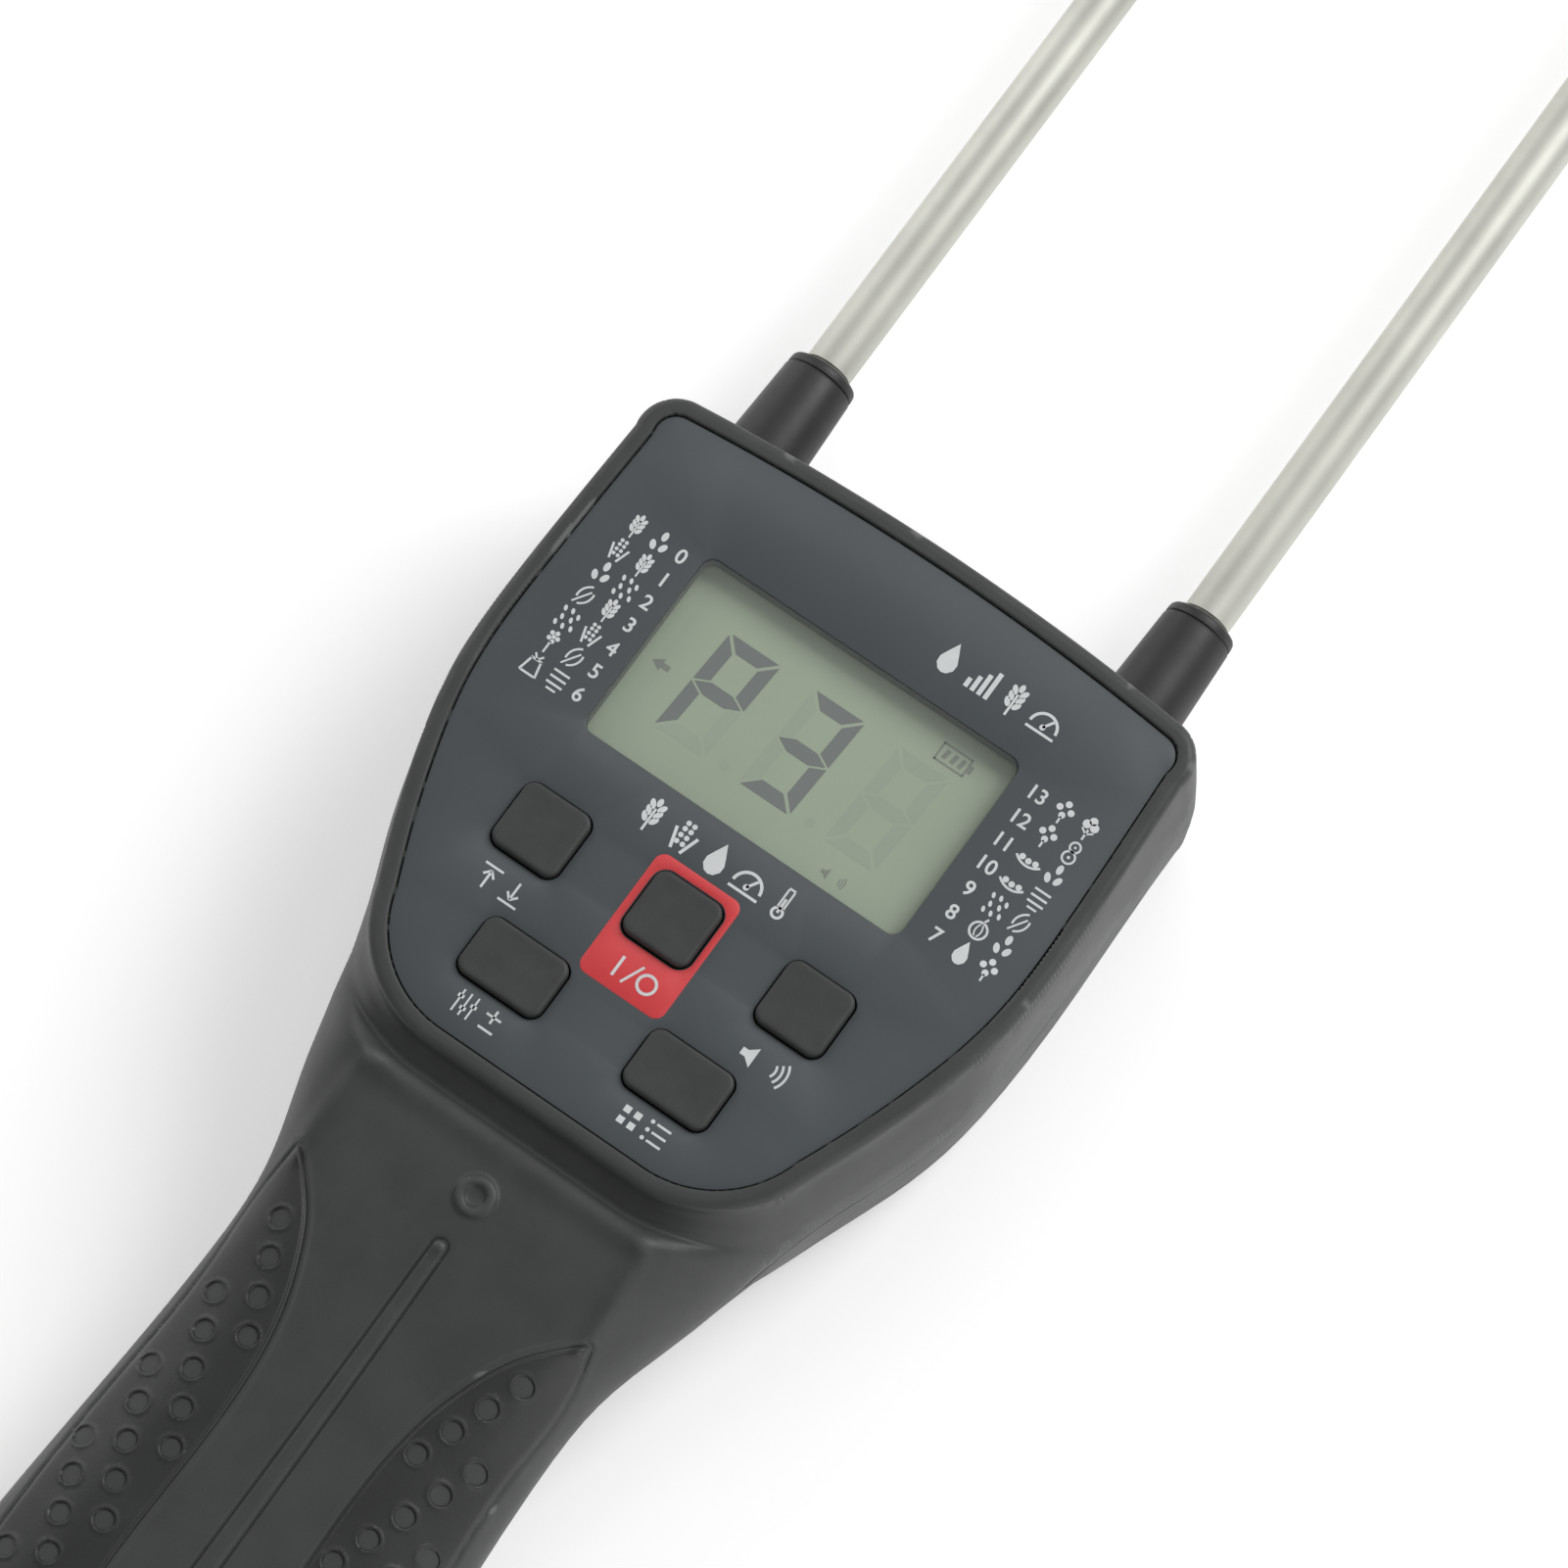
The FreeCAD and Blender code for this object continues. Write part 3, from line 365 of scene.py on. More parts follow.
def stacked(rings):
    """A closed solid through rings of points with as many points in each."""
    count = len(rings[0])
    points = [p for ring in rings for p in ring]
    faces = []
    for base in range(0, (len(rings) - 1) * count, count):
        faces += band(base, base + count, count)
    for ring, start in ((rings[0], 0), (rings[-1], (len(rings) - 1) * count)):
        points.append(np.mean(ring, axis=0))
        hub = len(points) - 1
        faces += [(start + i, start + (i + 1) % count, hub) for i in range(count)]
    return np.array(points), faces


def plate(outer, holes, low, high, bevel):
    """A flat plate with holes, whose upper edges are bevelled."""
    points, faces = [], []

    def add(more, more_faces):
        start = len(points)
        points.extend(more)
        faces.extend([tuple(i + start for i in face) for face in more_faces])

    for loop, way in [(outer, -1)] + [(hole, 1) for hole in holes]:
        half = moved(loop, way * bevel * 0.3)
        inner = moved(loop, way * bevel)
        levels = [(loop, low), (loop, high - bevel), (half, high - bevel * 0.3), (inner, high)]
        count = len(loop)
        walls = [(*p, z) for ring, z in levels for p in ring]
        add(walls, [face for base in range(0, (len(levels) - 1) * count, count)
                    for face in band(base, base + count, count)])
    for z, way in ((low, 0.0), (high, bevel)):
        flat, triangles = triangulate(moved(outer, -way), [moved(hole, way) for hole in holes])
        add([(*p, z) for p in flat], [tuple(t) for t in triangles])
    return np.array(points), faces


def turned(profile, x, z, segments=96):
    """A solid turned about a line along Y: the profile runs (radius, y), and closes on itself."""
    points, faces = [], []
    count = len(profile)
    for s in range(segments):
        angle = 2 * math.pi * s / segments
        points += [(x + r * math.cos(angle), y, z + r * math.sin(angle)) for r, y in profile]
        faces += band(s * count, (s + 1) % segments * count, count)
    return np.array(points), faces


# ---- materials

def blank_material(name):
    """A new material, with its node tree and its shader."""
    made = bpy.data.materials.new(name)
    made.use_nodes = True
    return made, made.node_tree, made.node_tree.nodes["Principled BSDF"]


def set_inputs(shader_node, inputs):
    for socket, value in inputs.items():
        shader_node.inputs[socket].default_value = value


def node(tree, kind, inputs=(), source=None, socket="Vector"):
    """A node with its inputs set, one of them fed from a source."""
    made = tree.nodes.new(kind)
    set_inputs(made, dict(inputs))
    if source is not None:
        tree.links.new(source, made.inputs[socket])
    return made


def noise(tree, size, detail, roughness=0.55):
    """Noise whose blotches are about a size across, in millimetres."""
    place = node(tree, "ShaderNodeTexCoord").outputs["Object"]
    settings = {"Scale": 1 / (size * MM), "Detail": detail, "Roughness": roughness}
    return node(tree, "ShaderNodeTexNoise", settings, place).outputs["Fac"]


def ranged(tree, source, low, high, bottom=0.3, top=0.7):
    """A number that follows a texture between two values."""
    settings = {"From Min": bottom, "From Max": top, "To Min": low, "To Max": high}
    return node(tree, "ShaderNodeMapRange", settings, source, "Value").outputs["Result"]


def linear(level):
    level /= 255
    return level / 12.92 if level <= 0.04045 else ((level + 0.055) / 1.055) ** 2.4


def rgba(colour):
    return (*[linear(c) for c in colour], 1.0)


def surface(name, colour, rough=(0.45, 0.55), grain=0.0, grain_size=0.25, mottle=0.08, mottle_size=6.0,
            metallic=0.0, specular=0.5, coat=0.0, worn=0.0, bump_depth=0.02, brushed=None):
    """A finish with uneven colour and gloss, a fine grain, and edges that have rubbed lighter."""
    made, tree, shader = blank_material(name)
    set_inputs(shader, {"Metallic": metallic, "Specular IOR Level": specular, "Coat Weight": coat})
    ramp = node(tree, "ShaderNodeValToRGB", source=noise(tree, mottle_size, 5.0), socket="Fac")
    for element, position, factor in zip(ramp.color_ramp.elements, (0.3, 0.7), (1 - mottle, 1 + mottle)):
        element.position = position
        element.color = rgba([min(255, c * factor) for c in colour])
    paint = ramp.outputs["Color"]
    if worn:
        pointiness = node(tree, "ShaderNodeNewGeometry").outputs["Pointiness"]
        mix = tree.nodes.new("ShaderNodeMix")
        mix.data_type = "RGBA"
        tree.links.new(ranged(tree, pointiness, 0.0, worn, 0.52, 0.62), mix.inputs["Factor"])
        tree.links.new(paint, mix.inputs["A"])
        mix.inputs["B"].default_value = rgba([min(255, c * 2.2 + 12) for c in colour])
        paint = mix.outputs["Result"]
    tree.links.new(paint, shader.inputs["Base Color"])
    smudge = noise(tree, mottle_size * 2.3, 6.0, 0.62)
    tree.links.new(ranged(tree, smudge, *rough), shader.inputs["Roughness"])
    height = None
    if grain:
        height = noise(tree, grain_size, 3.0, 0.5)
    if brushed:
        place = node(tree, "ShaderNodeTexCoord").outputs["Object"]
        stretched = node(tree, "ShaderNodeMapping", {"Scale": brushed}, place).outputs["Vector"]
        settings = {"Scale": 1.0, "Detail": 3.0}
        height = node(tree, "ShaderNodeTexNoise", settings, stretched).outputs["Fac"]
    if height is not None:
        bumps = {"Strength": grain, "Distance": bump_depth * MM}
        bump = node(tree, "ShaderNodeBump", bumps, height, "Height")
        tree.links.new(bump.outputs["Normal"], shader.inputs["Normal"])
    return made


def glass(name, colour, alpha, rough):
    made, tree, shader = blank_material(name)
    set_inputs(shader, {"Base Color": rgba(colour), "Alpha": alpha})
    tree.links.new(ranged(tree, noise(tree, 9.0, 5.0, 0.6), *rough), shader.inputs["Roughness"])
    return made


SHELL = surface("shell_plastic", (64, 66, 65), (0.44, 0.54), 0.5, 0.24, 0.05, specular=0.38, worn=0.3,
                bump_depth=0.025)
BACK = surface("back_plastic", (64, 66, 65), (0.44, 0.54), 0.5, 0.24, 0.05, specular=0.38, bump_depth=0.025)
RUBBER = surface("grip_rubber", (43, 44, 44), (0.38, 0.48), 0.4, 0.3, 0.07, 5.0, worn=0.25,
                 bump_depth=0.03)
PANEL = surface("panel_film", (80, 85, 88), (0.33, 0.41), 0.1, 0.16, 0.04, 40.0, specular=0.3)
KEY = surface("key_rubber", (60, 61, 61), (0.5, 0.62), 0.6, 0.2, 0.06, 3.0, specular=0.4, worn=0.3)
SLEEVE = surface("sleeve_rubber", (37, 38, 37), (0.42, 0.54), 0.4, 0.25, 0.06, 4.0, worn=0.2)
STEEL = surface("probe_steel", (206, 206, 198), (0.5, 0.6), 0.55, 0.2, 0.04, 14.0, metallic=1.0,
                brushed=(2600, 60, 2600), bump_depth=0.012)
RESIN = surface("insulator_resin", (38, 34, 30), (0.4, 0.55), 0.3, 0.2, 0.08, 2.0)
BRASS = surface("core_brass", (190, 150, 88), (0.25, 0.4), 0.3, 0.3, 0.06, 3.0, metallic=1.0,
                brushed=(2400, 90, 2400))
CARRIER = surface("carrier_plastic", (60, 60, 62), (0.5, 0.6), 0.4, 0.3, 0.05)
SCREW = surface("screw_steel", (120, 121, 124), (0.3, 0.45), 0.4, 0.12, 0.08, 1.5, metallic=1.0)
BOARD = surface("board_resin", (30, 92, 58), (0.35, 0.5), 0.5, 0.6, 0.12, 2.4, coat=0.3, bump_depth=0.03)
CHIP = surface("chip_resin", (30, 30, 32), (0.5, 0.7), 0.5, 0.12, 0.08, 1.0)
CAN = surface("can_aluminium", (186, 188, 192), (0.25, 0.4), 0.3, 0.2, 0.05, 1.5, metallic=1.0)
CARBON = surface("contact_carbon", (24, 24, 25), (0.7, 0.85), 0.6, 0.1, 0.1, 0.8)
LCD = surface("lcd_cell", (158, 172, 149), (0.3, 0.42), 0.0, 0.2, 0.012, 16.0, specular=0.3)
REFLECTOR = surface("reflector_film", (190, 194, 184), (0.4, 0.5), 0.3, 0.08, 0.03, 2.0, metallic=0.4)
FRAME = surface("frame_plastic", (46, 46, 48), (0.5, 0.65), 0.4, 0.2, 0.05)
ZEBRA = surface("zebra_rubber", (70, 62, 66), (0.6, 0.75), 0.6, 0.08, 0.2, 0.3)
SPEAKER = surface("speaker_metal", (140, 142, 146), (0.3, 0.45), 0.4, 0.3, 0.05, 3.0, metallic=1.0)
PAPER = surface("speaker_paper", (44, 42, 40), (0.8, 0.95), 0.8, 0.2, 0.12, 1.2, bump_depth=0.05)
CELL = surface("cell_sleeve", (54, 72, 104), (0.25, 0.35), 0.2, 0.3, 0.06, 5.0, coat=0.4)
CONTACT = surface("contact_plate", (198, 196, 188), (0.2, 0.35), 0.3, 0.15, 0.05, 1.5, metallic=1.0)
LEAD_RED = surface("lead_red", (170, 34, 30), (0.35, 0.5), 0.3, 0.15, 0.08, 1.0)
LEAD_BLACK = surface("lead_black", (30, 30, 32), (0.35, 0.5), 0.3, 0.15, 0.08, 1.0)
RED_INK = surface("red_ink", (216, 64, 68), (0.42, 0.5), 0.15, 0.16, 0.03, 7.0)
PALE_INK = surface("pale_ink", (216, 219, 220), (0.45, 0.55), 0.15, 0.16, 0.03, 4.0)
SEGMENT = surface("lcd_segment", (106, 111, 109), (0.4, 0.5), 0.0, 0.2, 0.02, 8.0, specular=0.2)
GHOST = surface("lcd_ghost", (153, 166, 146), (0.35, 0.45), 0.0, 0.2, 0.01, 8.0, specular=0.3)
FAINT = surface("lcd_icon", (124, 131, 121), (0.4, 0.5), 0.0, 0.2, 0.02, 8.0, specular=0.2)
CLEAR = glass("window_clear", (236, 240, 238), 0.05, (0.04, 0.09))

KEYS = ("limit", "power", "voice", "adjust", "variety")
CAD_FINISH = {
    LCD: ["lcd_glass"], REFLECTOR: ["lcd_reflector"], FRAME: ["lcd_frame"], ZEBRA: ["zebra_strip"],
    BOARD: ["main_board"], CHIP: ["microcontroller", "voice_chip"], CAN: ["board_capacitors"],
    KEY: ["key_mat"], CARBON: [f"contact_pill_{key}" for key in KEYS], CLEAR: ["display_window"],
    BRASS: ["probe_core_left", "probe_core_right"], CARRIER: ["probe_carrier"],
    SCREW: ["rod_set_screws", "shell_screws", "board_screws", "carrier_screws"],
    SPEAKER: ["speaker_basket"], PAPER: ["speaker_cone"], CELL: [f"battery_{i}" for i in range(1, 5)],
    CONTACT: ["contact_positive", "contact_negative", "contact_bridge"],
    LEAD_RED: ["probe_lead_right", "battery_lead_red", "speaker_leads"],
    LEAD_BLACK: ["probe_lead_left", "battery_lead_black"], BACK: ["battery_door", "back_shell"],
}


def finish_cad_nodes():
    for material, names in CAD_FINISH.items():
        for name in names:
            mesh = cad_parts[name].data
            mesh.materials.clear()
            mesh.materials.append(material)
    for name in CAD_FINISH[BACK]:
        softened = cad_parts[name].modifiers.new("softened", "BEVEL")
        softened.limit_method = "ANGLE"
        softened.angle_limit = math.radians(40)
        softened.width = 0.3 * MM
        softened.segments = 2
        softened.harden_normals = True


# ---- front shell

def handle_height(flat, border):
    """Top of the neck and handle, without the pod."""
    x, y = np.abs(flat[:, 0]), flat[:, 1]
    crest = HANDLE_TOP + 2.4 * np.exp(-(np.minimum(y + 30.0, 0) / 26.0) ** 2)
    reach = 14.0 - 4.0 * eased((y + 66.0) / 30.0)
    share = np.clip(border / reach, 0, 1)
    height = PARTING + (crest - PARTING) * (1 - (1 - share) ** 2.4) ** (1 / 1.9)
    ridge_x = np.interp(y, [-46, -40, -34, -30], [20.0, 19.7, 19.2, 18.4])
    fade = eased((y + 46.5) / 4.0) * eased((-29.5 - y) / 2.5)
    height += 0.55 * fade * np.exp(-((x - ridge_x) / 1.25) ** 2)
    return height


def rim_height(depth):
    """Top of the rim at a depth inside the pod's outline, and the ledge inside it."""
    edge = 1.1
    round_off = edge - np.sqrt(np.clip(edge ** 2 - (edge - np.clip(depth, 0, edge)) ** 2, 0, None))
    top = RIM_TOP - round_off
    inner = np.interp(depth, [0, 2.0, 2.12, 2.2, 2.24], [0, 0, 0.06, 0.25, RIM_TOP - PANEL_BOTTOM])
    return top - inner


def front_height(flat, marks=True):
    """Outside of the front shell at each point."""
    border = np.maximum(inside_distance(flat, HOUSING), 0)
    depth = inside_distance(flat, POD)
    height = handle_height(flat, border)
    away = np.maximum(-depth, 0)
    gap = away + border
    share = np.clip(away / np.clip(gap, 0.5, 3.2), 0, 1)
    hollow = 1 - np.sqrt(1 - (1 - share) ** 2)
    wide = eased((gap - 0.8) / 2.2)
    fillet = (1 - wide) * (1 - share) + wide * hollow
    foot = RIM_TOP - 1.1
    height = height + (foot - height) * fillet
    height -= wide * 0.35 * np.clip(np.sin(math.pi * (share - 0.5) / 0.5), 0, 1) * (share > 0.5)
    shoulder = np.exp(-((np.abs(flat[:, 0]) - 19.0) / 4.5) ** 2)
    below = eased((-6.0 - flat[:, 1]) / 18.0) * (depth < 0)
    height += (0.5 + 0.3 * shoulder) * wide * below * np.exp(-((away - 4.6) / 1.45) ** 2)
    height = np.where(depth > 0, rim_height(depth), height)
    if marks:
        height = height + small_marks(flat)
    return np.maximum(height, PARTING + 0.16)


def rib_half(y):
    """Half the width between the two fine grooves down the handle."""
    return 1.0 + 0.3 * np.clip((-44.0 - y) / 46.0, 0, 1.6)


RIB_HEAD, RIB_END = -44.6, -126.0
RING = (0.0, -37.7)


def small_marks(flat):
    """Ring on the neck, the ribbed line down the handle and the groove round each grip."""
    x, y = flat[:, 0], flat[:, 1]
    radius = np.hypot(x - RING[0], y - RING[1])
    lift = 0.42 * eased((radius - 1.0) / 0.45) * eased((2.6 - radius) / 0.4)
    lift -= 0.15 * np.exp(-(radius / 0.8) ** 2)
    inside_rib = rib_half(y) - np.hypot(x, np.maximum(y - RIB_HEAD, 0))
    down = eased((y - RIB_END) / 2.0)
    lift -= 0.3 * np.exp(-(inside_rib / 0.2) ** 2) * down
    lift += 0.12 * eased(inside_rib / 0.5) * down
    lift += 0.25 * np.exp(-(np.hypot(x, y - RIB_HEAD) / 0.7) ** 2)
    for leaf in LEAVES.values():
        near = (np.abs(x) > 7.0) & (y < -42.0)
        outside = np.full(len(flat), -9.0)
        outside[near] = inside_distance(flat[near], leaf)
        lift -= 0.22 * np.exp(-((outside + 0.14) / 0.16) ** 2)
        lift += 0.13 * np.exp(-((outside + 0.7) / 0.28) ** 2)
    return lift


KEY_BOXES = {
    "limit": (-18.0, 0.0, 8.9, 8.6), "power": (0.0, 0.0, 8.9, 8.6), "voice": (18.0, 0.0, 8.9, 8.6),
    "adjust": (-11.25, -14.7, 11.15, 7.6), "variety": (11.25, -14.7, 11.15, 7.6),
}
KEY_CORNER = 1.5
KEY_GAP = 0.22
WINDOW_SIZE = (43.2, 24.95)
WINDOW_CORNER = 1.5


def key_opening(name, slack):
    x, y, width, height = KEY_BOXES[name]
    return rounded_rectangle(x, y, width + 2 * slack, height + 2 * slack, KEY_CORNER + slack)


def window_opening():
    return rounded_rectangle(0, WINDOW, *WINDOW_SIZE, WINDOW_CORNER)


def on_wall(points):
    """Which points lie on the narrow wall between the rim and the parting line."""
    away = -inside_distance(points, POD)
    return (away > 0) & (away + inside_distance(points, HOUSING) < 3.0)


def wall_rows():
    """Rows down the narrow wall, at even shares of the way from the rim to the parting line."""
    gap = inside_distance(POD, HOUSING)
    out = moved(POD, 1.0) - POD
    narrow = gap < 3.1
    return [(POD + out * (gap * share)[:, None])[narrow] for share in
            (0.02, 0.05, 0.1, 0.17, 0.26, 0.37, 0.5, 0.63, 0.75, 0.85, 0.92, 0.97)]


def front_points():
    """Points that the front skin is drawn through, closest together where it bends most."""
    rows = rows_beside(HOUSING, [-0.08, -0.22, -0.45, -0.8, -1.3, -1.9, -2.6])
    rows += rows_beside(POD, [-0.03, -0.12, -0.26, -0.45, -0.75, -1.1, -1.55, -1.95, -2.06, -2.14, -2.2,
                              -2.25, -3.2])
    rows += rows_beside(POD, [0.06, 0.16, 0.32, 0.55, 0.85, 1.2, 1.6, 2.0, 2.3, 2.6, 2.9, 3.2, 3.5])
    rows = [row[~on_wall(row)] for row in rows] + wall_rows() + [POD]
    for leaf in LEAVES.values():
        rows += rows_beside(leaf, [-1.0, -0.15, 0.02, 0.16, 0.3, 0.45, 0.6, 0.75, 0.9, 1.1, 1.35])
    stations = np.arange(RIB_END, RIB_HEAD + 0.1, 0.5)
    for offset in (-0.55, -0.3, -0.14, 0.0, 0.14, 0.3, 0.55):
        for side in (-1, 1):
            rows.append(np.stack([side * (rib_half(stations) + offset), stations], 1))
    for radius in (0.4, 0.8, 1.0, 1.15, 1.3, 1.45, 1.8, 2.2, 2.35, 2.5, 2.6, 3.0):
        rows.append(circle(*RING, radius, max(8, int(radius * 14))))
    for radius in (0.01, 0.35, 0.6, 0.75, 0.88, 1.0, 1.12, 1.25, 1.5):
        rows.append(circle(0, RIB_HEAD, radius, max(6, int(radius * 22))))
    dense = thinned(rows, 0.07)
    grid = lattice(HOUSING, 0.75)
    border = inside_distance(grid, HOUSING)
    depth = inside_distance(grid, POD)
    clear = (border > 0.35) & (depth < -3.6)
    clear &= np.abs(np.abs(grid[:, 0]) - rib_half(grid[:, 1])) > 0.7
    clear &= np.hypot(grid[:, 0] - RING[0], grid[:, 1] - RING[1]) > 3.2
    for leaf in LEAVES.values():
        outside = inside_distance(grid, leaf)
        clear &= (outside < -1.6) | (outside > 1.2)
    return np.concatenate([dense, grid[clear]])


SKIN = 1.6              # thickness of the front shell
SEAM = PARTING + 0.02
LIP = 0.25              # width of the flat edge at the seam


def front_shell():
    openings = [window_opening()] + [key_opening(name, KEY_GAP + 0.25) for name in KEYS]
    flat, triangles = triangulate(HOUSING, openings, front_points())
    height = front_height(flat)
    top = np.column_stack([flat, height])
    count = len(flat)
    border = inside_distance(flat, HOUSING)
    at_seam = np.nonzero(np.abs(border) < 0.01)[0]
    outwards = border_normals(flat, HOUSING)
    inner = top.copy()
    inner[:, :2] -= outwards * np.clip(SKIN - np.maximum(border, 0), 0, SKIN)[:, None]
    inner[:, 2] = np.maximum(height - SKIN, SEAM)
    inner[at_seam, 2] = SEAM
    lip = np.column_stack([flat[at_seam] - LIP * outwards[at_seam], np.full(len(at_seam), SEAM)])
    lip_index = {i: 2 * count + k for k, i in enumerate(at_seam)}
    faces = two_sheets(triangles, count)
    for a, b, low_a, low_b in rim_faces(triangles, count):
        if a in lip_index and b in lip_index:
            faces += [(a, b, lip_index[b], lip_index[a]), (lip_index[a], lip_index[b], low_a, low_b)]
        else:
            faces.append((a, b, low_a, low_b))
    points = np.concatenate([top, inner, lip])
    piece("housing_front", points, faces, SHELL, ["front_shell"], 50.0)


def border_normals(points, loop):
    """Outward direction of the nearest stretch of an outline, at each point."""
    nearest = np.full(len(points), 1e18)
    way = np.zeros_like(points)
    for p, q in zip(loop, np.roll(loop, -1, 0)):
        d = q - p
        share = np.clip(((points - p) @ d) / (d @ d), 0, 1)
        off = points - p - share[:, None] * d
        distance = (off ** 2).sum(1)
        closer = distance < nearest
        nearest = np.where(closer, distance, nearest)
        way[closer] = np.array([-d[1], d[0]]) / np.linalg.norm(d)
    return way


# ---- grips

DIMPLE_RADIUS = 1.25
DIMPLE_DEPTH = 0.72


def dimples(leaf):
    """Middles of the dimples: a slanting lattice, clear of the pad's edge."""
    found = []
    for line_number in range(-2, 14):
        for step in range(0, 12):
            x = 18.3 + 1.2 * line_number - 1.7 * (step - 3)
            y = -47.5 - 10.6 * line_number - 4.27 * (step - 3)
            found.append((x, y))
    found = np.array(found)
    return found[inside_distance(found, leaf) > 1.5]


def from_nearest(flat, middles):
    """Distance of each point from the nearest of some others."""
    return np.hypot(flat[:, None, 0] - middles[:, 0], flat[:, None, 1] - middles[:, 1]).min(1)


def grip_pad(side):
    leaf = LEAVES["right"]
    middles = dimples(leaf)
    rows = []
    for x, y in middles:
        for radius, count in ((0.01, 1), (0.4, 8), (0.75, 14), (1.0, 20), (1.14, 24), (1.22, 26),
                              (1.26, 26), (1.4, 26), (1.62, 24)):
            rows.append(circle(x, y, radius, count))
    rows += rows_beside(leaf, [-0.04, -0.1, -0.2, -0.32, -0.45, -0.7, -1.1])
    grid = lattice(leaf, 0.5)
    rows.append(grid[(inside_distance(grid, leaf) > 1.3) & (from_nearest(grid, middles) > 1.75)])
    points = thinned(rows, 0.06)

    def base(flat):
        return front_height(flat, False)

    def height(flat):
        inside = np.maximum(inside_distance(flat, leaf), 0)
        edge = np.clip(inside / 0.45, 0, 1)
        lift = -0.25 + 0.45 * np.sqrt(np.clip(1 - (1 - edge) ** 2, 0, 1))
        nearest = from_nearest(flat, middles)
        lift -= DIMPLE_DEPTH * np.clip(1 - (nearest / DIMPLE_RADIUS) ** 2, 0, 1) ** 0.8
        lift += 0.1 * np.exp(-((nearest - 1.4) / 0.14) ** 2)
        lift += 0.35 * np.exp(-(np.hypot(flat[:, 0] - 19.4, flat[:, 1] + 45.2) / 0.8) ** 2)
        return base(flat) + lift

    points, faces = shell_between(leaf, [], points, height, lambda flat: base(flat) - 0.8)
    if side == "left":
        points[:, 0] *= -1
    piece(f"grip_{side}", points, faces, RUBBER, [f"grip_pad_{side}"], 60.0)


# ---- panel, keys and display

PANEL_INSET = 2.36      # from the pod's outline in to the panel's edge
PANEL_BEVEL = 0.14


def panel():
    outer = moved(pod_outline(0.7), -PANEL_INSET)
    holes = [window_opening()] + [key_opening(name, KEY_GAP) for name in KEYS]
    points, faces = plate(outer, holes, PANEL_BOTTOM, PANEL_TOP, PANEL_BEVEL)
    piece("panel_plate", points, faces, PANEL, ["face_panel"])


KEY_EDGE = 0.45         # rounding of a cap's upper edge
STEM_WIDTH, STEM_CORNER = 4.96, 2.46
FLANGE_BOTTOM, FLANGE_TOP = 26.2, 27.05


def key_cap(name):
    x, y, width, height = KEY_BOXES[name]
    low = extent(f"key_{name}")[0].z
    rings = []

    def ring(inset, z, corner=None):
        corner = max(0.25, (KEY_CORNER if corner is None else corner) - inset)
        loop = rounded_rectangle(x, y, width - 2 * inset, height - 2 * inset, corner)
        rings.append(np.column_stack([loop, np.full(len(loop), z)]))

    for z in (low, FLANGE_BOTTOM):
        stem = rounded_rectangle(x, y, STEM_WIDTH, STEM_WIDTH, STEM_CORNER)
        rings.append(np.column_stack([stem, np.full(len(stem), z)]))
    ring(-0.8, FLANGE_BOTTOM, 1.2)
    ring(-0.8, FLANGE_TOP, 1.2)
    ring(0.0, FLANGE_TOP)
    ring(0.0, KEY_TOP - KEY_EDGE)
    for i in range(1, 7):
        angle = i * math.pi / 12
        ring(KEY_EDGE * (1 - math.cos(angle)), KEY_TOP - KEY_EDGE * (1 - math.sin(angle)) - 0.01)
    for inset, dip in ((0.9, 0.01), (1.7, 0.03), (2.6, 0.05), (3.4, 0.06)):
        ring(inset, KEY_TOP - 0.01 - dip)
    points, faces = stacked(rings)
    piece(f"cap_{name}", points, faces, KEY, [f"key_{name}"], 60.0, f"{name}_key")


def prisms(loops, low, high):
    """Closed flat prisms over simple outlines."""
    points, faces = [], []
    for loop in loops:
        loop = np.array(loop, float)
        start, count = len(points), len(loop)
        points += [(x, y, low) for x, y in loop] + [(x, y, high) for x, y in loop]
        faces.append(tuple(start + i for i in reversed(range(count))))
        faces.append(tuple(start + count + i for i in range(count)))
        faces += band(start, start + count, count)
    return points, faces


def printed(name, loops, material, low, high):
    """Flat marks of one material, each closed and standing on its own."""
    mesh = new_mesh(name, *prisms(loops, low, high))
    with reworked(mesh) as work:
        bmesh.ops.recalc_face_normals(work, faces=work.faces)
    dressed(name, mesh, material)


def disc(x, y, rx, ry=None, turn=0.0, count=18):
    ry = rx if ry is None else ry
    c, s = math.cos(math.radians(turn)), math.sin(math.radians(turn))
    loop = []
    for i in range(count):
        a = 2 * math.pi * i / count
        px, py = rx * math.cos(a), ry * math.sin(a)
        loop.append((x + px * c - py * s, y + px * s + py * c))
    return loop


def bar(x0, y0, x1, y1, width):
    dx, dy = x1 - x0, y1 - y0
    length = math.hypot(dx, dy)
    nx, ny = -dy / length * width / 2, dx / length * width / 2
    return [(x0 + nx, y0 + ny), (x0 - nx, y0 - ny), (x1 - nx, y1 - ny), (x1 + nx, y1 + ny)]


def bow(x, y, radius, width, start, end, count=14):
    """Part of a ring between two angles."""
    angles = [math.radians(start + (end - start) * i / count) for i in range(count + 1)]
    outer = [(x + (radius + width / 2) * math.cos(a), y + (radius + width / 2) * math.sin(a))
             for a in angles]
    inner = [(x + (radius - width / 2) * math.cos(a), y + (radius - width / 2) * math.sin(a))
             for a in reversed(angles)]
    return outer + inner


def hoop(x, y, radius, width):
    return [bow(x, y, radius, width, 0, 180), bow(x, y, radius, width, 180, 360)]


def flipped(icon):
    return [[(x, -y) for x, y in loop] for loop in icon]


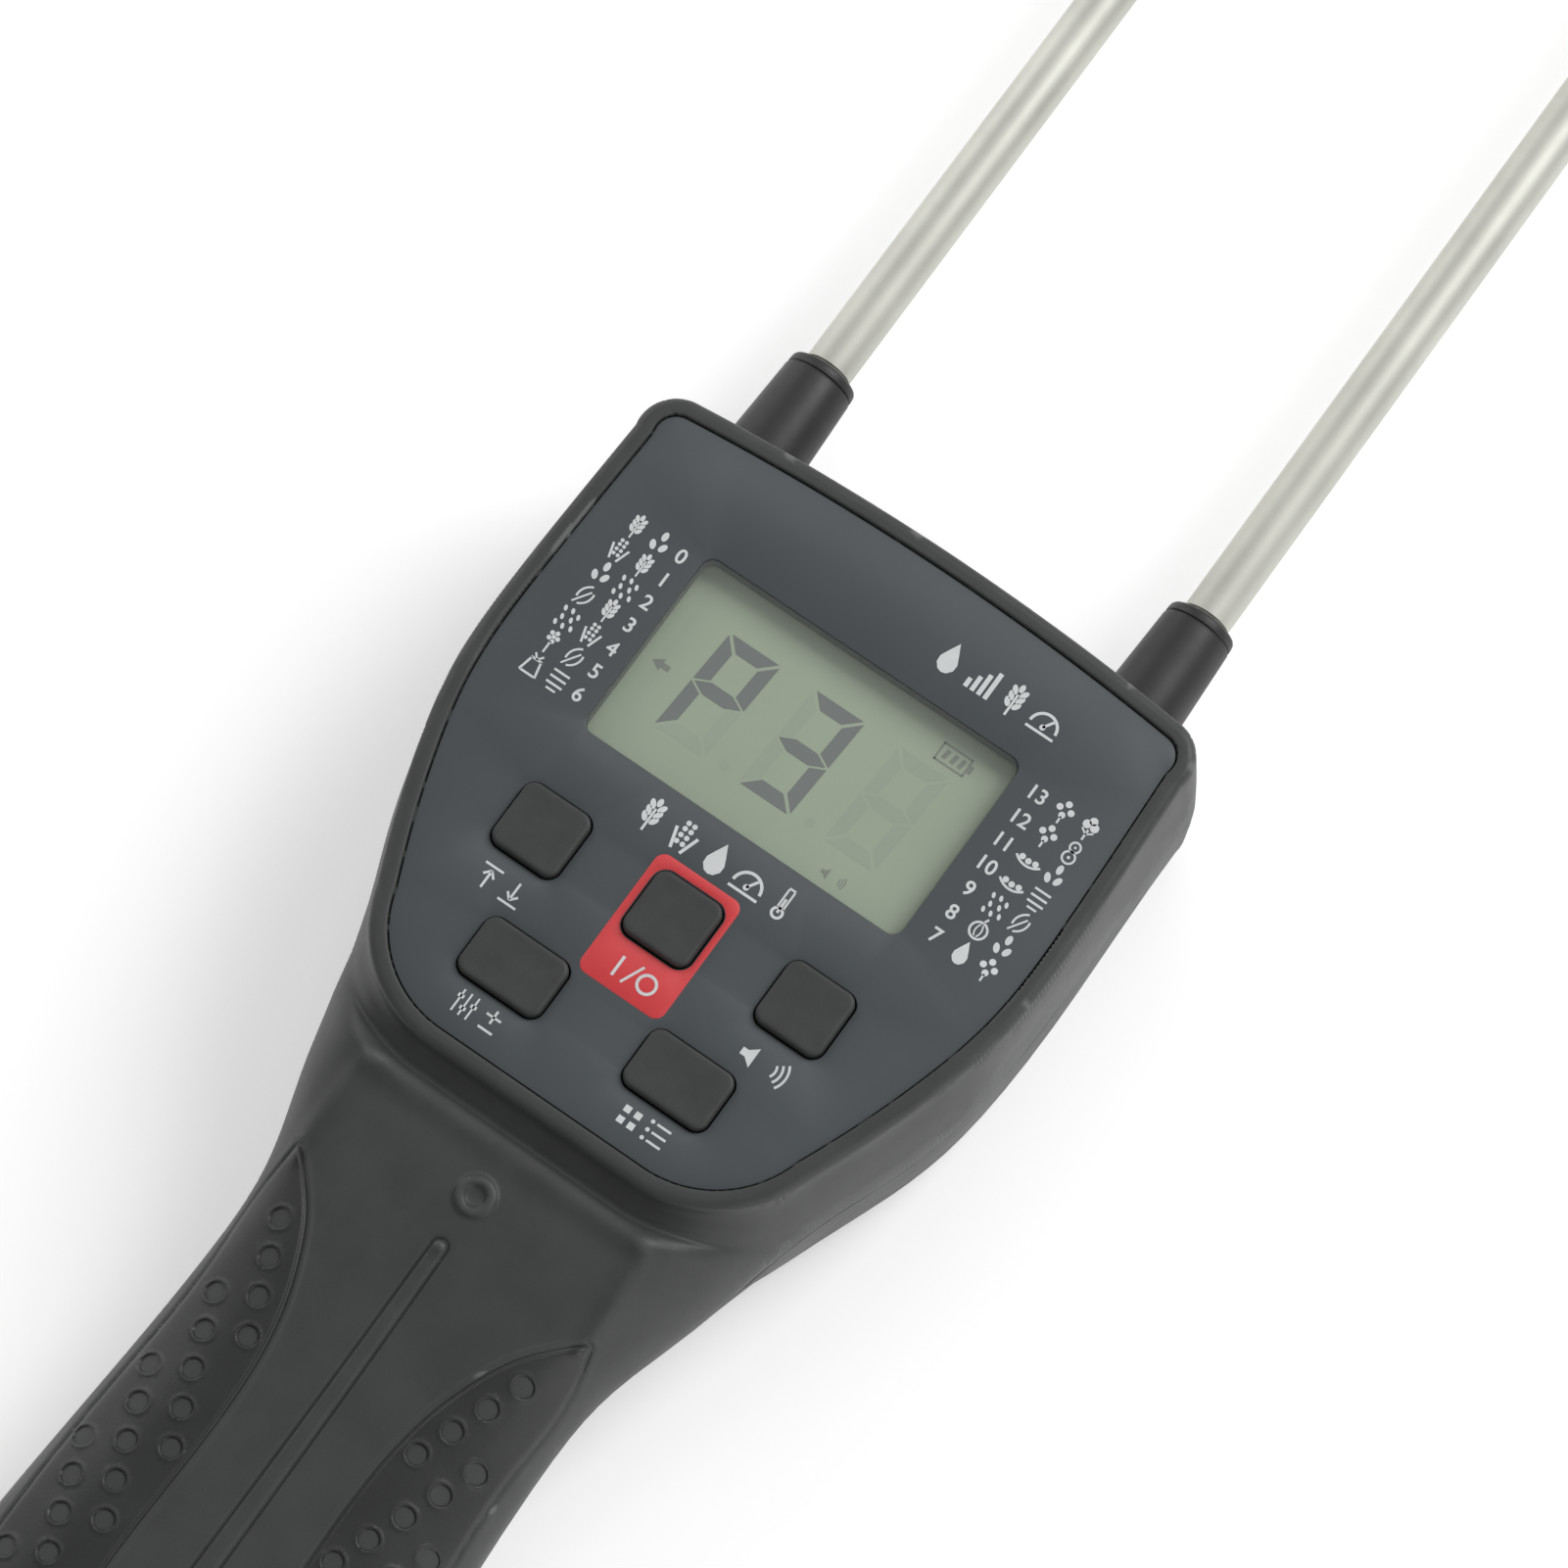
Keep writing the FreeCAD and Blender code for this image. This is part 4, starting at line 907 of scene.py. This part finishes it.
# Pictograms, each about one unit high round its own middle.
EAR = [bar(0, -0.5, 0, 0.2, 0.07), disc(0, 0.4, 0.08, 0.13)] + [
    disc(s * 0.15, -0.12 + 0.2 * i, 0.08, 0.15, -s * 32) for i in range(3) for s in (-1, 1)]
DROP = [[(0, 0.5), (-0.17, 0.16), (-0.28, -0.08), (-0.27, -0.28), (-0.14, -0.44), (0, -0.48),
         (0.14, -0.44), (0.27, -0.28), (0.28, -0.08), (0.17, 0.16)]]
COB = [disc(x, y, 0.075) for x in (-0.12, 0.07) for y in (-0.2, 0.0, 0.2, 0.38)] + [
    bar(-0.34, 0.15, -0.16, -0.45, 0.09), bar(0.34, 0.15, 0.14, -0.45, 0.09)]
SEEDS = [disc(-0.2, -0.2, 0.12, 0.2, 25), disc(0.2, -0.14, 0.12, 0.2, -25), disc(0.02, 0.28, 0.12, 0.2)]
LEAF = [bow(0.28, -0.1, 0.55, 0.08, 110, 190), bow(-0.28, 0.1, 0.55, 0.08, -70, 10),
        bar(-0.3, -0.45, 0.15, 0.22, 0.07)]
CLUSTER = [disc(0.17 * math.cos(a), 0.2 + 0.19 * math.sin(a), 0.09) for a in np.arange(0, 6.2, 1.25)] + [
    disc(0, 0.2, 0.08), bar(0, -0.5, 0, 0.0, 0.08)]
SACK = [bar(-0.3, -0.42, 0.3, -0.42, 0.09), bar(-0.24, 0.2, 0.24, 0.2, 0.09)] + [
    shape for s in (-1, 1) for shape in (bar(s * 0.34, -0.44, s * 0.2, 0.2, 0.09),
                                         bar(s * 0.18, 0.42, 0, 0.2, 0.08))]
FLOWER = [disc(0.24 * math.cos(a), 0.1 + 0.24 * math.sin(a), 0.13) for a in np.arange(0, 6, 1.571)] + [
    bar(0, -0.5, 0, -0.2, 0.08)]
MELON = hoop(0, -0.05, 0.33, 0.09) + [bow(-0.3, -0.05, 0.42, 0.06, -35, 35),
                                      bow(0.3, -0.05, 0.42, 0.06, 145, 215), bar(0, 0.3, 0.1, 0.5, 0.08)]
DROPS = [disc(x, y, 0.07, 0.12, 20) for x, y in
         ((-0.3, 0.3), (0.0, 0.34), (0.3, 0.24), (-0.22, -0.04), (0.14, 0.0), (-0.32, -0.34),
          (0.0, -0.34), (0.32, -0.28))]
BEAN_POD = [bow(0, 0.42, 0.72, 0.09, 225, 315)] + [
    disc(x, y, 0.12) for x, y in ((-0.28, -0.06), (0.0, -0.1), (0.28, -0.06))]
PRESS = [bar(-0.34, y, 0.34, y, 0.09) for y in (0.3, 0.04, -0.22)] + [bar(-0.2, -0.44, 0.2, -0.44, 0.08)]
NUT = hoop(0, 0.22, 0.2, 0.08) + hoop(0, -0.22, 0.24, 0.08) + [
    disc(0, 0.22, 0.05), disc(0, -0.22, 0.06)]
BOLL = [disc(-0.16, 0.12, 0.17), disc(0.16, 0.12, 0.17), disc(0, 0.32, 0.16),
        bar(0, -0.5, 0, -0.05, 0.08), bar(0, -0.25, -0.24, -0.08, 0.07), bar(0, -0.25, 0.24, -0.08, 0.07)]
GAUGE = [bow(0, -0.2, 0.42, 0.09, 0, 180), bar(0, -0.2, 0.2, 0.12, 0.08), disc(0, -0.2, 0.09),
         bar(-0.46, -0.38, 0.46, -0.38, 0.08)]
THERMOMETER = hoop(0, -0.3, 0.15, 0.08) + [
    bar(-0.09, -0.16, -0.09, 0.42, 0.06), bar(0.09, -0.16, 0.09, 0.42, 0.06),
    bar(-0.1, 0.45, 0.1, 0.45, 0.06), bar(0, -0.3, 0, 0.15, 0.08)]
LEVELS = [bar(-0.33 + 0.22 * i, -0.45, -0.33 + 0.22 * i, -0.15 + 0.2 * i, 0.14) for i in range(4)]
UPPER_LIMIT = [bar(-0.38, 0.42, 0.38, 0.42, 0.09), bar(0, -0.45, 0, 0.2, 0.09),
               bar(-0.22, 0.02, 0, 0.26, 0.09), bar(0.22, 0.02, 0, 0.26, 0.09)]
LOWER_LIMIT = flipped(UPPER_LIMIT)
HORN = [[(-0.42, -0.14), (-0.42, 0.14), (-0.2, 0.14), (0.12, 0.4), (0.12, -0.4), (-0.2, -0.14)]]
WAVES = [bow(-0.5, 0, radius, 0.09, -35, 35) for radius in (0.4, 0.62, 0.84)]
SLIDERS = [shape for x, y in ((-0.3, 0.18), (0.0, -0.16), (0.3, 0.08))
           for shape in (bar(x, -0.45, x, 0.45, 0.07), bar(x - 0.12, y, x + 0.12, y, 0.14))]
PLUS_MINUS = [bar(-0.3, 0.18, 0.3, 0.18, 0.09), bar(0, -0.08, 0, 0.45, 0.09),
              bar(-0.3, -0.36, 0.3, -0.36, 0.09)]
TILES = [bar(x - 0.13, y, x + 0.13, y, 0.26) for x in (-0.22, 0.22) for y in (-0.24, 0.2)]
LIST = [shape for y in (0.34, 0.0, -0.34) for shape in (disc(-0.34, y, 0.08),
                                                        bar(-0.16, y, 0.42, y, 0.09))]


def placed(icon, x, y, size):
    return [[(x + size * px, y + size * py) for px, py in loop] for loop in icon]


NUMERAL_HEIGHT = 1.85


def numeral(number, x, y):
    """A number as on a dial, standing a hair proud of the panel."""
    name = f"number_{number}"
    curve = bpy.data.curves.new(name, "FONT")
    curve.body = str(number)
    curve.align_x = "CENTER"
    curve.align_y = "CENTER"
    curve.size = NUMERAL_HEIGHT * 1.38 * MM
    curve.offset = 0.022 * NUMERAL_HEIGHT * MM
    curve.extrude = 0.02 * MM
    curve.resolution_u = 4
    source = in_scene(name + "_source", curve)
    mesh = bpy.data.meshes.new_from_object(source)
    bpy.data.objects.remove(source)
    mesh.name = name
    mesh.transform(Matrix.Translation(Vector((x, y + ROW_Y, PANEL_TOP + 0.012)) * MM))
    with reworked(mesh) as work:
        bmesh.ops.remove_doubles(work, verts=work.verts, dist=1e-7)
    dressed(name, mesh, PALE_INK)


LEFT_ROWS = [(EAR, SEEDS), (COB, EAR), (SEEDS, DROPS), (LEAF, EAR), (DROPS, COB), (CLUSTER, LEAF),
             (SACK, PRESS)]
RIGHT_ROWS = [(FLOWER, BOLL), (FLOWER, NUT), (BEAN_POD, SEEDS), (BEAN_POD, PRESS), (DROPS, LEAF),
              (MELON, SEEDS), (DROP, FLOWER)]
ROW_YS = [35.4, 32.0, 28.7, 25.4, 22.0, 18.7, 15.4]
# places of the two pictograms and the numeral in a row of each column
LEFT_COLUMN, RIGHT_COLUMN = (-30.2, -26.9, -24.0), (28.5, 31.9, 24.9)
LAST_NUMBER = 13


def prints():
    low, high = PANEL_TOP - 0.01, PANEL_TOP + 0.03
    marks = []
    for column, icons, numbers in ((LEFT_COLUMN, LEFT_ROWS, range(7)),
                                   (RIGHT_COLUMN, RIGHT_ROWS, range(LAST_NUMBER, 6, -1))):
        for row_y, pair, number in zip(ROW_YS, icons, numbers):
            for icon, x in zip(pair, column):
                marks += placed(icon, x, row_y, 3.1)
            numeral(number, column[2], row_y - 0.1)
    for x, icon in ((-9.0, EAR), (-4.5, COB), (0.0, DROP), (4.5, GAUGE), (9.0, THERMOMETER)):
        marks += placed(icon, x, 8.6, 4.2)
    for x, icon, size in ((7.8, DROP, 4.1), (12.3, LEVELS, 4.0), (16.5, EAR, 4.1), (20.9, GAUGE, 4.0)):
        marks += placed(icon, x, 43.0, size)
    for x, y, first, second in ((-18.0, -7.8, UPPER_LIMIT, LOWER_LIMIT), (18.0, -7.8, HORN, WAVES),
                                (-11.4, -21.2, SLIDERS, PLUS_MINUS), (11.0, -21.2, TILES, LIST)):
        marks += placed(first, x - 1.75, y, 3.2) + placed(second, x + 1.75, y, 3.2)
    printed("panel_marks", marks, PALE_INK, low, high)
    patch = rounded_rectangle(-0.07, -2.35, 11.35, 16.5, 1.3)
    hole = key_opening("power", KEY_GAP + 0.15)
    points, faces = plate(patch, [hole], low, PANEL_TOP + 0.02, 0.01)
    piece("power_patch", points, faces, RED_INK, sharp=30)
    stand = [bar(-1.9, -9.1, -1.9, -6.5, 0.36), bar(-0.65, -9.2, 0.65, -6.3, 0.3)]
    stand += hoop(2.0, -7.8, 1.1, 0.36)
    printed("power_marks", stand, PALE_INK, PANEL_TOP + 0.012, PANEL_TOP + 0.035)


ALL_SEGMENTS = "abcdefg"
SEGMENT_CODES = {"P": "abefg", "3": "abcdg", "": ""}
DIGITS = {-15.6: "P", -3.95: "3", 7.7: ""}          # left side of each digit
DIGIT_FOOT, DIGIT_WIDTH, DIGIT_HEIGHT, DIGIT_THICK = 18.1, 7.0, 13.9, 1.75
SLANT = math.tan(math.radians(3.4))


def seven_segments(x, wanted):
    """Outlines of some of a slanted digit's segments, mitred where they meet."""
    width, height, thick = DIGIT_WIDTH, DIGIT_HEIGHT, DIGIT_THICK
    half, gap, level = thick / 2, 0.3, height / 2
    bar_end = [(gap, 0), (width - gap, 0), (width - thick - gap, thick), (thick + gap, thick)]
    upright = [(0, gap), (0, level - gap / 2), (thick, level - half - gap / 2), (thick, thick + gap)]
    shapes = {
        "d": bar_end, "a": [(px, height - py) for px, py in bar_end],
        "e": upright, "c": [(width - px, py) for px, py in upright],
        "f": [(px, height - py) for px, py in upright],
        "b": [(width - px, height - py) for px, py in upright],
        "g": [(gap, level), (thick + gap, level + half), (width - thick - gap, level + half),
              (width - gap, level), (width - thick - gap, level - half), (thick + gap, level - half)],
    }
    return [[(x + px + SLANT * py, DIGIT_FOOT + py) for px, py in shapes[name]] for name in wanted]


def display():
    low, high = GLASS_TOP - 0.01, GLASS_TOP + 0.03
    lit, ghost = [], []
    for x, shown in DIGITS.items():
        codes = SEGMENT_CODES[shown]
        lit += seven_segments(x, codes)
        ghost += seven_segments(x, [c for c in ALL_SEGMENTS if c not in codes])
    ghost += [disc(-6.3, 18.8, 0.65), disc(5.4, 18.8, 0.65)]
    printed("lcd_digits", lit, SEGMENT, low, high)
    printed("lcd_ghosts", ghost, GHOST, low, GLASS_TOP + 0.015)
    faint = [bar(12.4, 33.1, 16.3, 33.1, 0.25), bar(12.4, 35.3, 16.3, 35.3, 0.25),
             bar(12.5, 33.0, 12.5, 35.4, 0.25), bar(16.3, 33.0, 16.3, 35.4, 0.25),
             bar(16.7, 33.7, 16.7, 34.7, 0.45)]
    faint += [bar(x, 33.6, x + 0.2, 34.8, 0.55) for x in (13.3, 14.4, 15.4)]
    faint += [[(-20.2, 24.4), (-18.9, 25.2), (-18.9, 24.75), (-17.9, 24.75), (-17.9, 24.05),
               (-18.9, 24.05), (-18.9, 23.6)]]
    faint += placed(HORN, 10.4, 15.0, 1.7) + placed(WAVES, 12.3, 15.0, 1.5)
    printed("lcd_signs", faint, FAINT, low, high)


# ---- probes

def fillet_profile(corners, radii):
    """A profile whose corners are rounded where a radius is given."""
    out = []
    count, steps = len(corners), 4
    for i, (corner, r) in enumerate(zip(corners, radii)):
        if not r:
            out.append(corner)
            continue
        here = np.array(corner, float)
        before = np.array(corners[i - 1], float) - here
        after = np.array(corners[(i + 1) % count], float) - here
        a = here + before / np.linalg.norm(before) * r
        b = here + after / np.linalg.norm(after) * r
        for k in range(steps + 1):
            t = k / steps
            out.append(tuple((1 - t) ** 2 * a + 2 * t * (1 - t) * here + t * t * b))
    return out


def turned_piece(name, profile, x, material, stands_for, segments=96):
    """A round piece on a probe's line, from the corners of its profile and their radii."""
    points, faces = turned(fillet_profile(*profile), x, PARTING, segments)
    piece(name, points, faces, material, [stands_for], 40)


def probes():
    for side, sign in (("left", -1), ("right", 1)):
        x = sign * ROD_X
        back, front = (corner.y for corner in extent(f"probe_sleeve_{side}"))
        face = HEAD_TOP - 0.9
        corners = [(2.72, back), (6.2, back), (6.2, back + 2), (5.1, back + 2), (5.1, face),
                   (5.0, face + 1.2), (4.47, front - 1.7), (4.25, front - 1.62), (4.25, front - 1.4),
                   (4.42, front - 1.3), (4.36, front), (3.05, front), (3.0, front - 0.5), (2.72, front - 0.6)]
        radii = [0, 0.3, 0.3, 0, 0, 0, 0.05, 0.04, 0.04, 0.08, 0.7, 0.15, 0, 0]
        turned_piece(f"collar_{side}", (corners, radii), x, SLEEVE,
                     f"probe_sleeve_{side}")
        low, high = extent(f"probe_tube_{side}")
        shoulder = front + 0.5
        corners = [(2.2, low.y), (2.7, low.y), (2.7, shoulder), (3.0, shoulder), (3.0, high.y), (2.2, high.y)]
        radii = [0, 0.15, 0, 0.08, 0.12, 0]
        turned_piece(f"rod_{side}", (corners, radii), x, STEEL, f"probe_tube_{side}", 128)
        low, high = extent(f"probe_insulator_{side}")
        corners = [(1.5, low.y), (2.2, low.y), (2.2, high.y - 4), (2.93, high.y - 4), (2.93, high.y),
                   (1.5, high.y)]
        radii = [0, 0, 0, 0.1, 0.1, 0]
        turned_piece(f"insulator_{side}", (corners, radii), x, RESIN,
                     f"probe_insulator_{side}")
        start, tip = (corner.y for corner in extent(f"probe_tip_{side}"))
        corners = [(0.01, start), (1.5, start), (1.5, high.y), (3.0, high.y), (3.0, tip - 15),
                   (0.4, tip - 0.3), (0.01, tip)]
        radii = [0, 0.1, 0, 0.12, 1.2, 0.25, 0]
        turned_piece(f"point_{side}", (corners, radii), x, STEEL, f"probe_tip_{side}", 128)


# ---- studio

AZIMUTH, ELEVATION = math.radians(35.164), math.radians(72.723)
LENS = 157.4
CAMERA_DISTANCE = 762.9
AIM_RIGHT, AIM_UP = 12.38, 15.12


def camera():
    """Camera above the keys, at the photograph's angle."""
    a, e = AZIMUTH, ELEVATION
    back = Vector((math.sin(a) * math.cos(e), -math.cos(a) * math.cos(e), math.sin(e)))
    right = Vector((math.cos(a), math.sin(a), 0))
    up = back.cross(right)
    data = bpy.data.cameras.new("camera")
    data.lens = LENS
    data.sensor_width = 36.0
    data.clip_start, data.clip_end = 0.01, 20.0
    thing = in_scene("camera", data)
    target = Vector((0, ROW_Y, PANEL_TOP)) + right * AIM_RIGHT + up * AIM_UP
    turn = Matrix((right, up, back)).transposed().to_4x4()
    thing.matrix_world = Matrix.Translation((target + back * CAMERA_DISTANCE) * MM) @ turn
    bpy.context.scene.camera = thing


def area_light(name, place, aim, width, height, power):
    data = bpy.data.lights.new(name, "AREA")
    data.shape = "RECTANGLE"
    data.size, data.size_y = width, height
    data.energy = power
    thing = in_scene(name, data)
    thing.location = place
    way = Vector(place) - Vector(aim)
    thing.rotation_euler = way.to_track_quat("Z", "Y").to_euler()


def studio():
    mesh = bpy.data.meshes.new("floor")
    half = 4.0
    mesh.from_pydata([(-half, -half, 0), (half, -half, 0), (half, half, 0), (-half, half, 0)], [],
                     [(0, 1, 2, 3)])
    white, _, shader = blank_material("floor_white")
    set_inputs(shader, {"Base Color": (0.93, 0.93, 0.93, 1), "Roughness": 0.9, "Specular IOR Level": 0.1,
                        "Emission Color": (1, 1, 1, 1), "Emission Strength": 0.35})
    mesh.materials.append(white)
    in_scene("floor", mesh)
    world = bpy.data.worlds.new("world")
    world.use_nodes = True
    set_inputs(world.node_tree.nodes["Background"], {"Color": (1, 1, 1, 1), "Strength": 0.27})
    bpy.context.scene.world = world
    aim = (0, -0.1, 0.02)
    area_light("key_light", (1.0, -0.5, 0.4), aim, 0.9, 0.8, 2.8)
    area_light("side_light", (-0.95, 0.25, 0.5), aim, 0.6, 0.9, 3.0)
    area_light("top_light", (0.5, 0.8, 0.95), aim, 0.7, 0.7, 10.5)
    area_light("rod_light", (-0.3, 0.75, 1.3), aim, 0.6, 0.4, 1.8)
    bpy.context.scene.view_settings.view_transform = "Standard"


# ---- assembly

camera()
studio()
finish_cad_nodes()
front_shell()
for side_name in ("left", "right"):
    grip_pad(side_name)
panel()
for key_name in KEYS:
    key_cap(key_name)
prints()
display()
probes()
